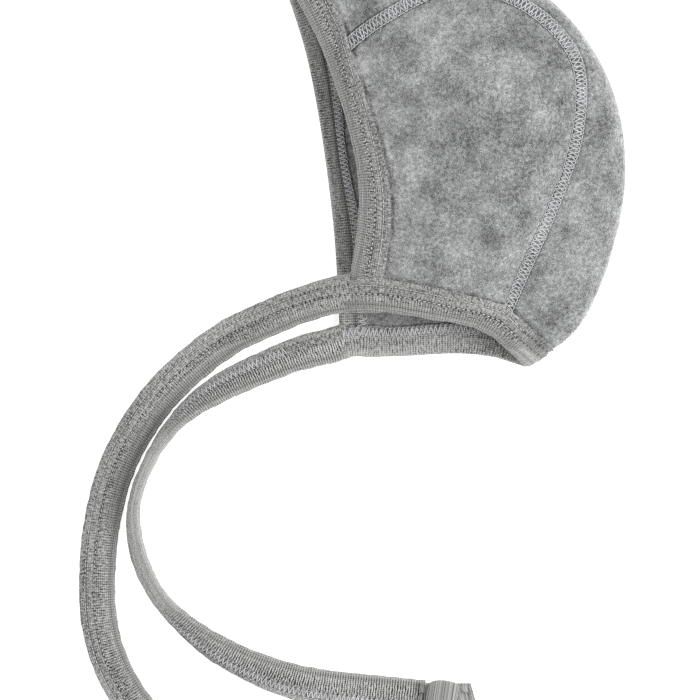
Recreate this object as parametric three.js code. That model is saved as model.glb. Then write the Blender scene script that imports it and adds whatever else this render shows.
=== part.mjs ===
// A baby's bonnet of grey wool fleece that lies on its side, with its face opening towards -X.
// Two side panels and a centre panel are bound along the face and the neck with folded rib-knit tape.
// The neck tape runs on past both front corners as two flat ties, each ending in a knot.
// Millimetres, +Z up. The floor is z = 0, and the origin is under the middle of the hat.
import * as THREE from "three";

// The hat as it lies, from forehead to back, from nape to crown, and up to the top of the side panel
const hatDepth = 153;
const hatHeight = 187;
const hatRise = 47;

// Cloth and tape
const fleeceWall = 2.2;
const tapeWall = 0.9;
const tapeWidth = 14;
const tapeClearance = 0.65;
const seamClearance = 0.3;
const endClearance = 0.3;
const cornerClearance = 2;

// Ties and knots
const tieWidth = 16;
const tieThickness = 2.8;
const tieRounding = 0.5;
const tieEdge = 0.09;
const knotLength = 25;
const knotWidth = 18;
const knotThickness = 10;

// How the cloth rounds over at the fold, and how soon it comes down to the floor beside the far tape
const shoulderReach = 0.25;
const shoulderRise = 0.7;
const liftFade = 8;

// How the face tape's end turns to run along the neck tape, in steps across a rib from the corner
const cornerEase = { from: 0.3, to: 1.1 };

// How finely the solids are cut
const ribSteps = 32;
const sideSteps = 12;
const centreSteps = 16;
const faceTapeSteps = 44;
const neckTapeSteps = { side: 18, nape: 20 };
const tieSteps = 48;
const legSteps = 3;
const walkStep = 1;
const outlineSteps = 40;

// The upper layer, a row for each rib from the face edge to the nape. Each point is given as shares of
// the hat's depth, height and rise: on the fold, on the seam, in the side panel and on the neck edge.
const upperRibs = [
  {
    fold: [0.006, 0.96, 0.25],
    seam: [0.149, 0.722, 0.6],
    middle: [0.241, 0.429, 0.72],
    edge: [0.203, 0.139, 0.34],
  },
  {
    fold: [0.216, 1.0, 0.36],
    seam: [0.313, 0.825, 0.73],
    middle: [0.339, 0.488, 0.86],
    edge: [0.229, 0.139, 0.39],
  },
  {
    fold: [0.488, 0.984, 0.42],
    seam: [0.509, 0.895, 0.72],
    middle: [0.445, 0.524, 0.95],
    edge: [0.267, 0.1405, 0.44],
  },
  {
    fold: [0.767, 0.867, 0.44],
    seam: [0.71, 0.849, 0.75],
    middle: [0.555, 0.512, 1.0],
    edge: [0.313, 0.137, 0.47],
  },
  {
    fold: [0.902, 0.74, 0.46],
    seam: [0.853, 0.724, 0.79],
    middle: [0.641, 0.446, 1.0],
    edge: [0.365, 0.131, 0.49],
  },
  {
    fold: [0.978, 0.584, 0.46],
    seam: [0.858, 0.554, 0.8],
    middle: [0.664, 0.351, 0.92],
    edge: [0.422, 0.124, 0.49],
  },
  {
    fold: [0.982, 0.373, 0.42],
    seam: [0.79, 0.387, 0.75],
    middle: [0.655, 0.262, 0.78],
    edge: [0.486, 0.116, 0.47],
  },
  {
    fold: [0.862, 0.102, 0.34],
    seam: [0.704, 0.229, 0.6],
    middle: [0.638, 0.172, 0.56],
    edge: [0.555, 0.104, 0.43],
  },
  {
    fold: [0.716, 0.008, 0.2],
    seam: [0.621, 0.08, 0.38],
    middle: [0.621, 0.08, 0.38],
    edge: [0.621, 0.08, 0.38],
  },
];

// The lower layer on the floor, in the same shares: on the seam, in the side panel and on the neck edge
const lowerRibs = [
  { seam: [0.095, 0.722, 0.08], middle: [0.165, 0.36, 0], edge: [0.19, 0.031, 0] },
  { seam: [0.29, 0.818, 0.1], middle: [0.31, 0.465, 0], edge: [0.23, 0.035, 0] },
  { seam: [0.503, 0.884, 0.11], middle: [0.425, 0.488, 0], edge: [0.276, 0.033, 0] },
  { seam: [0.704, 0.837, 0.11], middle: [0.54, 0.469, 0], edge: [0.328, 0.033, 0] },
  { seam: [0.842, 0.71, 0.11], middle: [0.626, 0.406, 0], edge: [0.385, 0.035, 0] },
  { seam: [0.851, 0.545, 0.11], middle: [0.658, 0.3, 0], edge: [0.443, 0.038, 0] },
  { seam: [0.793, 0.366, 0.1], middle: [0.658, 0.193, 0], edge: [0.503, 0.04, 0] },
  { seam: [0.71, 0.182, 0.08], middle: [0.641, 0.106, 0], edge: [0.566, 0.038, 0] },
  { seam: [0.629, 0.031, 0.04], middle: [0.629, 0.031, 0.04], edge: [0.629, 0.031, 0.04] },
];

// Soft dents of the upper layer: place and half sizes as shares of depth and height, turn, share of the rise
const dents = [
  { x: 0.82, y: 0.48, long: 0.13, wide: 0.03, turn: 105, depth: 0.04 },
  { x: 0.56, y: 0.6, long: 0.12, wide: 0.06, turn: 20, depth: 0.03 },
  { x: 0.9, y: 0.42, long: 0.14, wide: 0.05, turn: 95, depth: 0.03 },
  { x: 0.22, y: 0.83, long: 0.07, wide: 0.03, turn: 60, depth: 0.04 },
];

// Routes of the ties, from the front corners on: along X and Y from the corner, the height over its own
// rest on the floor, and the turn of the tape about its length in degrees
const leftTieRoute = [
  { x: -5.3, y: -0.9, lift: 15.6, turn: 0 },
  { x: -21, y: -4.9, lift: 11.5, turn: 0 },
  { x: -36.8, y: -11.3, lift: 7, turn: 0 },
  { x: -54.4, y: -19.5, lift: 2.4, turn: 0 },
  { x: -66.9, y: -28.9, lift: 0.5, turn: 0 },
  { x: -77.3, y: -37.8, lift: 0, turn: 0 },
  { x: -85.5, y: -46.7, lift: 0, turn: 0 },
  { x: -92, y: -55.6, lift: 0, turn: 0 },
  { x: -97.3, y: -64.5, lift: 0, turn: 0 },
  { x: -102.1, y: -73.4, lift: 0, turn: 0 },
  { x: -105.4, y: -82.3, lift: 0, turn: 0 },
  { x: -107.8, y: -91.2, lift: 0, turn: 0 },
  { x: -111, y: -108.9, lift: 0, turn: 0 },
  { x: -112.1, y: -126.6, lift: 0, turn: 0 },
  { x: -111.3, y: -144.2, lift: 0, turn: 0 },
  { x: -106.9, y: -161.8, lift: 0, turn: 0 },
  { x: -97.3, y: -179.5, lift: 0, turn: 0 },
  { x: -81.6, y: -197.6, lift: 0, turn: 0 },
  { x: -70, y: -205.4, lift: 0, turn: 0 },
  { x: -56.6, y: -211.4, lift: 0, turn: 0 },
];
const rightTieRoute = [
  { x: -3.2, y: -1.4, lift: 1, turn: 6 },
  { x: -13, y: -4.2, lift: 0.5, turn: 16 },
  { x: -26.9, y: -9.7, lift: 0, turn: 30 },
  { x: -46.7, y: -18, lift: 0, turn: 35 },
  { x: -61.2, y: -26.2, lift: 0, turn: 51 },
  { x: -72.2, y: -35, lift: 0, turn: 68 },
  { x: -79.8, y: -44.1, lift: 0, turn: 74 },
  { x: -85.2, y: -53.3, lift: 0, turn: 77 },
  { x: -89.3, y: -62.3, lift: 0, turn: 77 },
  { x: -92.4, y: -71.4, lift: 0, turn: 77 },
  { x: -93, y: -80.3, lift: 0, turn: 74 },
  { x: -92.2, y: -89.1, lift: 0, turn: 70 },
  { x: -90, y: -97.9, lift: 0, turn: 68 },
  { x: -86.2, y: -106.7, lift: 0, turn: 68 },
  { x: -81.2, y: -115.5, lift: 0, turn: 68 },
  { x: -72.2, y: -124.4, lift: 0, turn: 62 },
  { x: -60.7, y: -133.9, lift: 0, turn: 47 },
  { x: -43.1, y: -143.8, lift: 0, turn: 34 },
  { x: -23.3, y: -151.4, lift: 0, turn: 16 },
  { x: -1.4, y: -155.4, lift: 0, turn: 0 },
  { x: 20.6, y: -157.5, lift: 0, turn: 0 },
  { x: 35.5, y: -159.1, lift: 0, turn: 0 },
];

// A knot and its short tail, as shares of the knot's length, width and thickness
const knotSections = [
  { at: 0, width: 0.62, thickness: 0.4 },
  { at: 0.05, width: 0.86, thickness: 0.72 },
  { at: 0.16, width: 1, thickness: 0.96 },
  { at: 0.3, width: 1, thickness: 1 },
  { at: 0.44, width: 0.92, thickness: 0.9 },
  { at: 0.52, width: 0.72, thickness: 0.56 },
  { at: 0.6, width: 0.66, thickness: 0.34 },
  { at: 0.8, width: 0.78, thickness: 0.3 },
  { at: 1, width: 0.86, thickness: 0.28 },
];

// The curves that the ribs cross, in order from the lower neck edge round the fold to the upper neck edge
const LOWER_EDGE = 0;
const LOWER_SEAM = 2;
const FOLD = 4;
const UPPER_SEAM = 6;
const UPPER_EDGE = 8;
const FACE = 0;
const NAPE = 1;

const place = ([x, y, z]) => new THREE.Vector3(x * hatDepth, y * hatHeight, z * hatRise);
const mix = (a, b, share) => a + (b - a) * share;

// A point between the fold and a seam that rounds the fold off
function shoulder(fold, seam) {
  return [
    mix(fold[0], seam[0], shoulderReach),
    mix(fold[1], seam[1], shoulderReach),
    mix(fold[2], seam[2], shoulderRise),
  ];
}

const lengthwise = [
  lowerRibs.map((rib) => rib.edge),
  lowerRibs.map((rib) => rib.middle),
  lowerRibs.map((rib) => rib.seam),
  lowerRibs.map((rib, i) => shoulder(upperRibs[i].fold, rib.seam)),
  upperRibs.map((rib) => rib.fold),
  upperRibs.map((rib) => shoulder(rib.fold, rib.seam)),
  upperRibs.map((rib) => rib.seam),
  upperRibs.map((rib) => rib.middle),
  upperRibs.map((rib) => rib.edge),
].map((points) => new THREE.CatmullRomCurve3(points.map(place)));

function rawPoint(along, across) {
  const rib = new THREE.CatmullRomCurve3(lengthwise.map((curve) => curve.getPoint(along)));
  return rib.getPoint(across / UPPER_EDGE);
}

// The lower layer's bound edges seen from above, to tell how far in from the tape a point lies
const lowerOutline = [];
for (let i = 0; i <= outlineSteps; i++) {
  const share = i / outlineSteps;
  lowerOutline.push(rawPoint(FACE, share * FOLD));
  lowerOutline.push(rawPoint(share, LOWER_EDGE));
  lowerOutline.push(rawPoint(NAPE, mix(LOWER_SEAM, FOLD, share)));
}

// The lowest height of the cloth's middle: on the floor, but raised by the tape's leg near a bound edge
function floorLevel(point) {
  const toEdge = Math.min(...lowerOutline.map((p) => Math.hypot(p.x - point.x, p.y - point.y)));
  const fade = THREE.MathUtils.smoothstep(toEdge, tapeWidth + 1, tapeWidth + liftFade);
  return fleeceWall / 2 + (tapeClearance + tapeWall) * (1 - fade);
}

function dentDepth(point) {
  let depth = 0;
  for (const dent of dents) {
    const turn = THREE.MathUtils.degToRad(dent.turn);
    const x = point.x - dent.x * hatDepth;
    const y = point.y - dent.y * hatHeight;
    const long = (x * Math.cos(turn) + y * Math.sin(turn)) / (dent.long * hatHeight);
    const wide = (y * Math.cos(turn) - x * Math.sin(turn)) / (dent.wide * hatDepth);
    depth += dent.depth * hatRise * Math.exp(-long * long - wide * wide);
  }
  return depth;
}

// The middle of the cloth at a share of the way from face to nape, on a rib from lower to upper neck edge
function clothPoint(along, across) {
  const point = rawPoint(along, across);
  if (across > FOLD) point.z -= dentDepth(point) * THREE.MathUtils.smoothstep(across, FOLD, FOLD + 1);
  else if (point.z < fleeceWall + tapeClearance + tapeWall) point.z = Math.max(point.z, floorLevel(point));
  return point;
}

// The share of the way over which slopes are measured
const probe = 1e-3;

// The cloth's point, its outward normal and its slopes along both directions
function clothFrame(along, across) {
  const a0 = Math.max(FACE, along - probe);
  const a1 = Math.min(NAPE, along + probe);
  const c0 = Math.max(LOWER_EDGE, across - probe * UPPER_EDGE);
  const c1 = Math.min(UPPER_EDGE, across + probe * UPPER_EDGE);
  const slopeAlong = clothPoint(a1, across).sub(clothPoint(a0, across)).divideScalar(a1 - a0);
  const slopeAcross = clothPoint(along, c1).sub(clothPoint(along, c0)).divideScalar(c1 - c0);
  const normal = slopeAcross.clone().cross(slopeAlong).normalize();
  return { along, across, point: clothPoint(along, across), normal, slopeAlong, slopeAcross };
}

// Goes a given way over the cloth from a frame, in a direction that keeps turning with the cloth
function walk(start, direction, distance) {
  let frame = start;
  const heading = direction.clone();
  const steps = Math.max(1, Math.round(distance / walkStep));
  for (let i = 0; i < steps; i++) {
    heading.addScaledVector(frame.normal, -heading.dot(frame.normal)).normalize();
    const step = heading.clone().multiplyScalar(distance / steps);
    const aa = frame.slopeAlong.lengthSq();
    const ab = frame.slopeAlong.dot(frame.slopeAcross);
    const bb = frame.slopeAcross.lengthSq();
    const pa = step.dot(frame.slopeAlong);
    const pb = step.dot(frame.slopeAcross);
    const area = aa * bb - ab * ab;
    const along = THREE.MathUtils.clamp(frame.along + (pa * bb - pb * ab) / area, FACE, NAPE);
    const across = THREE.MathUtils.clamp(frame.across + (pb * aa - pa * ab) / area, LOWER_EDGE, UPPER_EDGE);
    frame = clothFrame(along, across);
  }
  return frame;
}

// A closed geometry from points and triangles, turned so that its faces point out
function closedGeometry(points, triangles) {
  let volume = 0;
  for (const [a, b, c] of triangles) volume += points[a].dot(points[b].clone().cross(points[c]));
  const faces = volume < 0 ? triangles.map(([a, b, c]) => [a, c, b]) : triangles;
  const geometry = new THREE.BufferGeometry();
  geometry.setAttribute("position", new THREE.Float32BufferAttribute(points.flatMap((p) => p.toArray()), 3));
  geometry.setIndex(faces.flat());
  geometry.computeVertexNormals();
  return geometry;
}

// A panel of the fleece wall over a number of rib steps, between two limits across each rib
function panelGeometry(ribs, crossings, acrossLimits) {
  const points = [];
  for (const side of [1, -1]) {
    for (let i = 0; i <= ribs; i++) {
      const along = i / ribSteps;
      const [from, to] = acrossLimits(along);
      for (let j = 0; j <= crossings; j++) {
        const frame = clothFrame(along, mix(from, to, j / crossings));
        points.push(frame.point.clone().addScaledVector(frame.normal, (side * fleeceWall) / 2));
      }
    }
  }
  const row = crossings + 1;
  const layer = (ribs + 1) * row;
  const triangles = [];
  const quad = (a, b, c, d) => triangles.push([a, b, c], [a, c, d]);
  for (let i = 0; i < ribs; i++) {
    for (let j = 0; j < crossings; j++) {
      const a = i * row + j;
      quad(a, a + 1, a + row + 1, a + row);
      quad(layer + a, layer + a + row, layer + a + row + 1, layer + a + 1);
    }
  }
  for (let i = 0; i < ribs; i++) {
    const a = i * row;
    const b = a + crossings;
    quad(a, a + row, layer + a + row, layer + a);
    quad(b + row, b, layer + b, layer + b + row);
  }
  for (let j = 0; j < crossings; j++) {
    const a = j;
    const b = ribs * row + j;
    quad(a + 1, a, layer + a, layer + a + 1);
    quad(b, b + 1, layer + b + 1, layer + b);
  }
  return closedGeometry(points, triangles);
}

// Joins rings of points into one closed solid, with its two ends capped by the section's own triangles
function ringSolid(rings, section) {
  const count = section.length;
  const caps = THREE.ShapeUtils.triangulateShape(section, []);
  const last = (rings.length - 1) * count;
  const triangles = [];
  for (let i = 0; i < rings.length - 1; i++) {
    for (let j = 0; j < count; j++) {
      const a = i * count + j;
      const b = i * count + ((j + 1) % count);
      triangles.push([a, b, b + count], [a, b + count, a + count]);
    }
  }
  for (const [a, b, c] of caps) triangles.push([a, c, b], [last + a, last + b, last + c]);
  return closedGeometry(rings.flat(), triangles);
}

// The tape's section, folded over the cloth's edge: how far in from the edge, and how high over the cloth
const tapeInside = fleeceWall / 2 + tapeClearance;
const tapeOutside = tapeInside + tapeWall;
const tapeReach = tapeClearance + tapeWall;
const foldRounding = 0.7;
const tapeSection = [];
for (let i = legSteps; i >= 0; i--) tapeSection.push({ inward: i / legSteps, out: 0, height: tapeOutside });
tapeSection.push({ inward: 0, out: tapeReach, height: tapeInside * foldRounding });
tapeSection.push({ inward: 0, out: tapeReach, height: -tapeInside * foldRounding });
for (let i = 0; i <= legSteps; i++) tapeSection.push({ inward: i / legSteps, out: 0, height: -tapeOutside });
for (let i = legSteps; i > 0; i--) tapeSection.push({ inward: i / legSteps, out: 0, height: -tapeInside });
tapeSection.push({ inward: 0, out: tapeClearance, height: -tapeInside });
tapeSection.push({ inward: 0, out: tapeClearance, height: tapeInside });
for (let i = 1; i <= legSteps; i++) tapeSection.push({ inward: i / legSteps, out: 0, height: tapeInside });
const tapeOutline = tapeSection.map((p) => new THREE.Vector2(p.inward * tapeWidth - p.out, p.height));

// The tape's ring at a place on a bound edge. The shift moves the whole ring past the end of the edge.
function tapeRing(edge, shift = 0) {
  const start = clothFrame(edge.along, edge.across);
  const inward = start.normal.clone().cross(edge.tangent);
  if (edge.skew) inward.lerp(start.slopeAlong.clone().normalize(), edge.skew);
  inward.addScaledVector(start.normal, -inward.dot(start.normal)).normalize();
  const frames = [start];
  for (let i = 1; i <= legSteps; i++) frames.push(walk(start, inward, (i / legSteps) * tapeWidth));
  const moved = edge.tangent.clone().multiplyScalar(shift);
  return tapeSection.map((p) => {
    const frame = frames[Math.round(p.inward * legSteps)];
    const point = frame.point.clone().addScaledVector(frame.normal, p.height);
    return point.addScaledVector(inward, -p.out).add(moved);
  });
}

// Gives the places on an edge their tangents. The cloth lies to the left of the way along the edge.
function withTangents(places) {
  const points = places.map((p) => clothPoint(p.along, p.across));
  return places.map((p, i) => {
    const before = points[Math.max(0, i - 1)];
    const after = points[Math.min(points.length - 1, i + 1)];
    return { ...p, tangent: after.clone().sub(before).normalize() };
  });
}

// How far across the ribs the face edge has run after a length, measured from one of its ends
const runSteps = 2000;
function acrossAfter(length, fromEdge, towards) {
  let across = fromEdge;
  let run = 0;
  const step = (towards - fromEdge) / runSteps;
  let last = clothPoint(FACE, across);
  while (run < length) {
    across += step;
    const next = clothPoint(FACE, across);
    run += next.distanceTo(last);
    last = next;
  }
  return across;
}

// The face tape stops short of the neck tape's legs
const faceStop = tapeWidth + cornerClearance;
const faceFrom = acrossAfter(faceStop, LOWER_EDGE, FOLD);
const faceTo = acrossAfter(faceStop, UPPER_EDGE, FOLD);
function faceBindingGeometry() {
  const places = [];
  for (let i = 0; i <= faceTapeSteps; i++) {
    const across = mix(faceFrom, faceTo, i / faceTapeSteps);
    const toCorner = Math.min(across - LOWER_EDGE, UPPER_EDGE - across);
    const skew = 1 - THREE.MathUtils.smoothstep(toCorner, cornerEase.from, cornerEase.to);
    places.push({ along: FACE, across, skew });
  }
  return ringSolid(withTangents(places).map((edge) => tapeRing(edge)), tapeOutline);
}

// Where the side panels run out to a point near the nape
const sidePanelEnd = 1 - 1 / ribSteps;

// The neck edge runs from the upper front corner to the nape and back along the lower layer
const napeMargin = 0.12;
const neckPlaces = [];
for (let i = 0; i <= neckTapeSteps.side; i++) {
  neckPlaces.push({ along: (sidePanelEnd * i) / neckTapeSteps.side, across: UPPER_EDGE });
}
for (let i = 0; i <= neckTapeSteps.nape; i++) {
  const across = mix(UPPER_SEAM - napeMargin, LOWER_SEAM + napeMargin, i / neckTapeSteps.nape);
  neckPlaces.push({ along: NAPE, across });
}
for (let i = neckTapeSteps.side; i >= 0; i--) {
  neckPlaces.push({ along: (sidePanelEnd * i) / neckTapeSteps.side, across: LOWER_EDGE });
}
const neckEdge = withTangents(neckPlaces);

function neckBindingGeometry() {
  const rings = neckEdge.map((edge) => tapeRing(edge));
  const first = tapeRing(neckEdge[0], -tapeReach);
  const last = tapeRing(neckEdge[neckEdge.length - 1], tapeReach);
  return ringSolid([first, ...rings, last], tapeOutline);
}

// The flat tie's section, and the height of its middle where it lies turned on the floor
const tieOutline = [
  [1, tieRounding],
  [1 - tieEdge, 1],
  [tieEdge - 1, 1],
  [-1, tieRounding],
  [-1, -tieRounding],
  [tieEdge - 1, -1],
  [1 - tieEdge, -1],
  [1, -tieRounding],
].map(([wide, thick]) => new THREE.Vector2((wide * tieWidth) / 2, (thick * tieThickness) / 2));

function restHeight(turn) {
  return (tieWidth * Math.sin(turn) + tieThickness * Math.cos(turn)) / 2;
}

// The ring of a flat section at a point, with its width level across the way but for the turn about it
function flatRing(point, heading, turn, widthShare = 1, thicknessShare = 1) {
  const across = new THREE.Vector3(heading.y, -heading.x, 0).normalize();
  const over = across.clone().cross(heading).normalize();
  const wide = across.clone().multiplyScalar(Math.cos(turn)).addScaledVector(over, -Math.sin(turn));
  const thick = over.clone().multiplyScalar(Math.cos(turn)).addScaledVector(across, Math.sin(turn));
  return tieOutline.map((p) => {
    const ringPoint = point.clone().addScaledVector(wide, p.x * widthShare);
    return ringPoint.addScaledVector(thick, p.y * thicknessShare);
  });
}

// A tie and its knot, on the route from a front corner
function tieGeometries(corner, route) {
  const turns = route.map((row) => THREE.MathUtils.degToRad(row.turn));
  const points = route.map((row, i) => {
    return new THREE.Vector3(corner.x + row.x, corner.y + row.y, restHeight(turns[i]) + row.lift);
  });
  const curve = new THREE.CatmullRomCurve3(points);
  const rings = [];
  for (let i = 0; i <= tieSteps; i++) {
    const at = curve.getUtoTmapping(i / tieSteps);
    const row = Math.min(route.length - 2, Math.floor(at * (route.length - 1)));
    const turn = mix(turns[row], turns[row + 1], at * (route.length - 1) - row);
    const point = curve.getPoint(at);
    point.z = Math.max(point.z, restHeight(turn));
    rings.push(flatRing(point, curve.getTangent(at), turn));
  }
  const end = points[points.length - 1];
  const heading = curve.getTangent(1).setZ(0).normalize();
  const knotRings = knotSections.map((row) => {
    const point = end.clone().addScaledVector(heading, endClearance + row.at * knotLength);
    point.z = (row.thickness * knotThickness) / 2;
    const widthShare = (row.width * knotWidth) / tieWidth;
    const thicknessShare = (row.thickness * knotThickness) / tieThickness;
    return flatRing(point, heading, 0, widthShare, thicknessShare);
  });
  return [ringSolid(rings, tieOutline), ringSolid(knotRings, tieOutline)];
}

// The middle of the neck tape's end at a front corner
function frontCorner(across) {
  return clothPoint(FACE, acrossAfter(tapeWidth / 2, across, FOLD));
}

const [leftTie, leftKnot] = tieGeometries(frontCorner(UPPER_EDGE), leftTieRoute);
const [rightTie, rightKnot] = tieGeometries(frontCorner(LOWER_EDGE), rightTieRoute);

// How far a small step off a seam goes across a rib, to leave the seam's clearance between two panels
function seamOffset(along, seam, side) {
  const reach = 0.05;
  const length = clothPoint(along, seam).distanceTo(clothPoint(along, seam + side * reach));
  return (side * reach * seamClearance) / 2 / length;
}

const centreLimits = (along) => [
  LOWER_SEAM + seamOffset(along, LOWER_SEAM, 1),
  UPPER_SEAM + seamOffset(along, UPPER_SEAM, -1),
];
const leftLimits = (along) => [UPPER_SEAM + seamOffset(along, UPPER_SEAM, 1), UPPER_EDGE];
const rightLimits = (along) => [LOWER_EDGE, LOWER_SEAM + seamOffset(along, LOWER_SEAM, -1)];

function mesh(name, geometry, color, roughness) {
  const made = new THREE.Mesh(geometry, new THREE.MeshStandardMaterial({ color, roughness, metalness: 0 }));
  made.name = name;
  return made;
}

const hat = new THREE.Group();
hat.add(
  mesh("left_side_panel", panelGeometry(ribSteps - 1, sideSteps, leftLimits), 0x949694, 0.95),
  mesh("right_side_panel", panelGeometry(ribSteps - 1, sideSteps, rightLimits), 0x8f918f, 0.95),
  mesh("centre_panel", panelGeometry(ribSteps, centreSteps, centreLimits), 0x9e9f9e, 0.95),
  mesh("face_binding", faceBindingGeometry(), 0x8b8b89, 0.9),
  mesh("neck_binding", neckBindingGeometry(), 0x8a8986, 0.9),
);

// The origin goes under the middle of the hat's outline
const middle = new THREE.Box3().setFromObject(hat).getCenter(new THREE.Vector3());
hat.add(
  mesh("left_tie", leftTie, 0x90908e, 0.9),
  mesh("left_tie_knot", leftKnot, 0x868684, 0.9),
  mesh("right_tie", rightTie, 0x8c8c8a, 0.9),
  mesh("right_tie_knot", rightKnot, 0x868684, 0.9),
);
hat.position.set(-middle.x, -middle.y, 0);

export default hat;
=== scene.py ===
"""The looks of a baby's bonnet of grey wool fleece, lying on its side on a pale floor.

Two side panels and a centre panel are joined by flatlock seams and bound with folded rib-knit tape.
The neck tape runs on past both front corners as two flat ties, each ending in a knot.
All lengths are metres, +Z is up, and the floor is at zero.
"""

import logging
import math
from dataclasses import dataclass, field, replace
from enum import Enum

import bpy
import numpy as np
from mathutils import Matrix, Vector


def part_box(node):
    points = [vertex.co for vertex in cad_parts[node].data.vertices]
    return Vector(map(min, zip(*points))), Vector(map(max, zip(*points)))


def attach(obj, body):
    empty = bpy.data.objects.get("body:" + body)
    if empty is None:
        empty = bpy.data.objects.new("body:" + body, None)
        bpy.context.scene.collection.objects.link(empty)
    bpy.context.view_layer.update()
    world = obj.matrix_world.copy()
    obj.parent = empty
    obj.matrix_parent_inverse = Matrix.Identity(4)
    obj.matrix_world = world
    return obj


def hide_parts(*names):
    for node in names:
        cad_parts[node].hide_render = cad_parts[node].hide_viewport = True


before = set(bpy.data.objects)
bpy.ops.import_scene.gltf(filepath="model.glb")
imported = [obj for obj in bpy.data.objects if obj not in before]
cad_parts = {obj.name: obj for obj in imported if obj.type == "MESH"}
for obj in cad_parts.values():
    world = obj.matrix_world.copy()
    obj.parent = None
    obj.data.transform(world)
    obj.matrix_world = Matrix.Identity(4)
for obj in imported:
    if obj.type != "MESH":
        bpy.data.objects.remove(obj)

LOG = logging.getLogger("bonnet")
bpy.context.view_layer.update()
Socket = bpy.types.NodeSocket

# The curves that a rib of the cloth crosses, counted from the lower neck edge round the fold to the upper one
LOWER_EDGE = 0
LOWER_SEAM = 2
FOLD = 4
UPPER_SEAM = 6
UPPER_EDGE = 8
FACE = 0
NAPE = 1
SIDE_PANEL_END = 31 / 32

# Wall thicknesses and widths that several pieces share
FLEECE_WALL = 0.0022
TAPE_WALL = 0.0009
TAPE_WIDTH = 0.014
TAPE_CLEARANCE = 0.00065
TIE_WIDTH = 0.016
TIE_THICKNESS = 0.0028
RIB_PITCH = 0.00117
LOOP_PITCH = 0.0009
STITCH_ROWS = (0.0069, 0.0109)
STITCH_PITCH = 0.00205

# The upper layer's curves on the fold, on the seam, in the side panel and on the neck edge, each with a point
# for every rib from the face edge to the nape. Points are shares of the hat's depth, height and rise.
UPPER_RIBS = {
    "fold": [
        (0.006, 0.96, 0.25), (0.216, 1.0, 0.36), (0.488, 0.984, 0.42), (0.767, 0.867, 0.44),
        (0.902, 0.74, 0.46), (0.978, 0.584, 0.46), (0.982, 0.373, 0.42), (0.862, 0.102, 0.34),
        (0.716, 0.008, 0.2),
    ],
    "seam": [
        (0.149, 0.722, 0.6), (0.313, 0.825, 0.73), (0.509, 0.895, 0.72), (0.71, 0.849, 0.75),
        (0.853, 0.724, 0.79), (0.858, 0.554, 0.8), (0.79, 0.387, 0.75), (0.704, 0.229, 0.6),
        (0.621, 0.08, 0.38),
    ],
    "middle": [
        (0.241, 0.429, 0.72), (0.339, 0.488, 0.86), (0.445, 0.524, 0.95), (0.555, 0.512, 1.0),
        (0.641, 0.446, 1.0), (0.664, 0.351, 0.92), (0.655, 0.262, 0.78), (0.638, 0.172, 0.56),
        (0.621, 0.08, 0.38),
    ],
    "edge": [
        (0.203, 0.139, 0.34), (0.229, 0.139, 0.39), (0.267, 0.1405, 0.44), (0.313, 0.137, 0.47),
        (0.365, 0.131, 0.49), (0.422, 0.124, 0.49), (0.486, 0.116, 0.47), (0.555, 0.104, 0.43),
        (0.621, 0.08, 0.38),
    ],
}

# The lower layer's curves near the floor, in the same shares
LOWER_RIBS = {
    "seam": [
        (0.095, 0.722, 0.08), (0.29, 0.818, 0.1), (0.503, 0.884, 0.11), (0.704, 0.837, 0.11),
        (0.842, 0.71, 0.11), (0.851, 0.545, 0.11), (0.793, 0.366, 0.1), (0.71, 0.182, 0.08),
        (0.629, 0.031, 0.04),
    ],
    "middle": [
        (0.165, 0.36, 0), (0.31, 0.465, 0), (0.425, 0.488, 0), (0.54, 0.469, 0),
        (0.626, 0.406, 0), (0.658, 0.3, 0), (0.658, 0.193, 0), (0.641, 0.106, 0),
        (0.629, 0.031, 0.04),
    ],
    "edge": [
        (0.19, 0.031, 0), (0.23, 0.035, 0), (0.276, 0.033, 0), (0.328, 0.033, 0),
        (0.385, 0.035, 0), (0.443, 0.038, 0), (0.503, 0.04, 0), (0.566, 0.038, 0),
        (0.629, 0.031, 0.04),
    ],
}

# Soft dents of the upper layer: place and half sizes as shares of depth and height, turn, share of the rise
DENTS = [
    {"x": 0.82, "y": 0.48, "long": 0.13, "wide": 0.03, "turn": 105, "depth": 0.04},
    {"x": 0.56, "y": 0.6, "long": 0.12, "wide": 0.06, "turn": 20, "depth": 0.03},
    {"x": 0.9, "y": 0.42, "long": 0.14, "wide": 0.05, "turn": 95, "depth": 0.03},
    {"x": 0.22, "y": 0.83, "long": 0.07, "wide": 0.03, "turn": 60, "depth": 0.04},
]

# Darker and lighter patches of the fleece's melange, placed the same way, with the tone that each takes off
PATCHES = [
    {"x": 0.546, "y": 0.545, "long": 0.03, "wide": 0.025, "turn": 15, "shade": 0.3},
    {"x": 0.46, "y": 0.57, "long": 0.026, "wide": 0.02, "turn": 20, "shade": 0.22},
    {"x": 0.397, "y": 0.3, "long": 0.03, "wide": 0.03, "turn": 40, "shade": 0.16},
    {"x": 0.67, "y": 0.417, "long": 0.09, "wide": 0.07, "turn": 100, "shade": 0.09},
    {"x": 0.6, "y": 0.3, "long": 0.03, "wide": 0.04, "turn": 10, "shade": 0.16},
    {"x": 0.931, "y": 0.557, "long": 0.035, "wide": 0.03, "turn": 60, "shade": 0.3},
    {"x": 0.9, "y": 0.351, "long": 0.06, "wide": 0.04, "turn": 80, "shade": -0.1},
    {"x": 0.4, "y": 0.7, "long": 0.08, "wide": 0.08, "turn": 0, "shade": -0.07},
]

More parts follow.
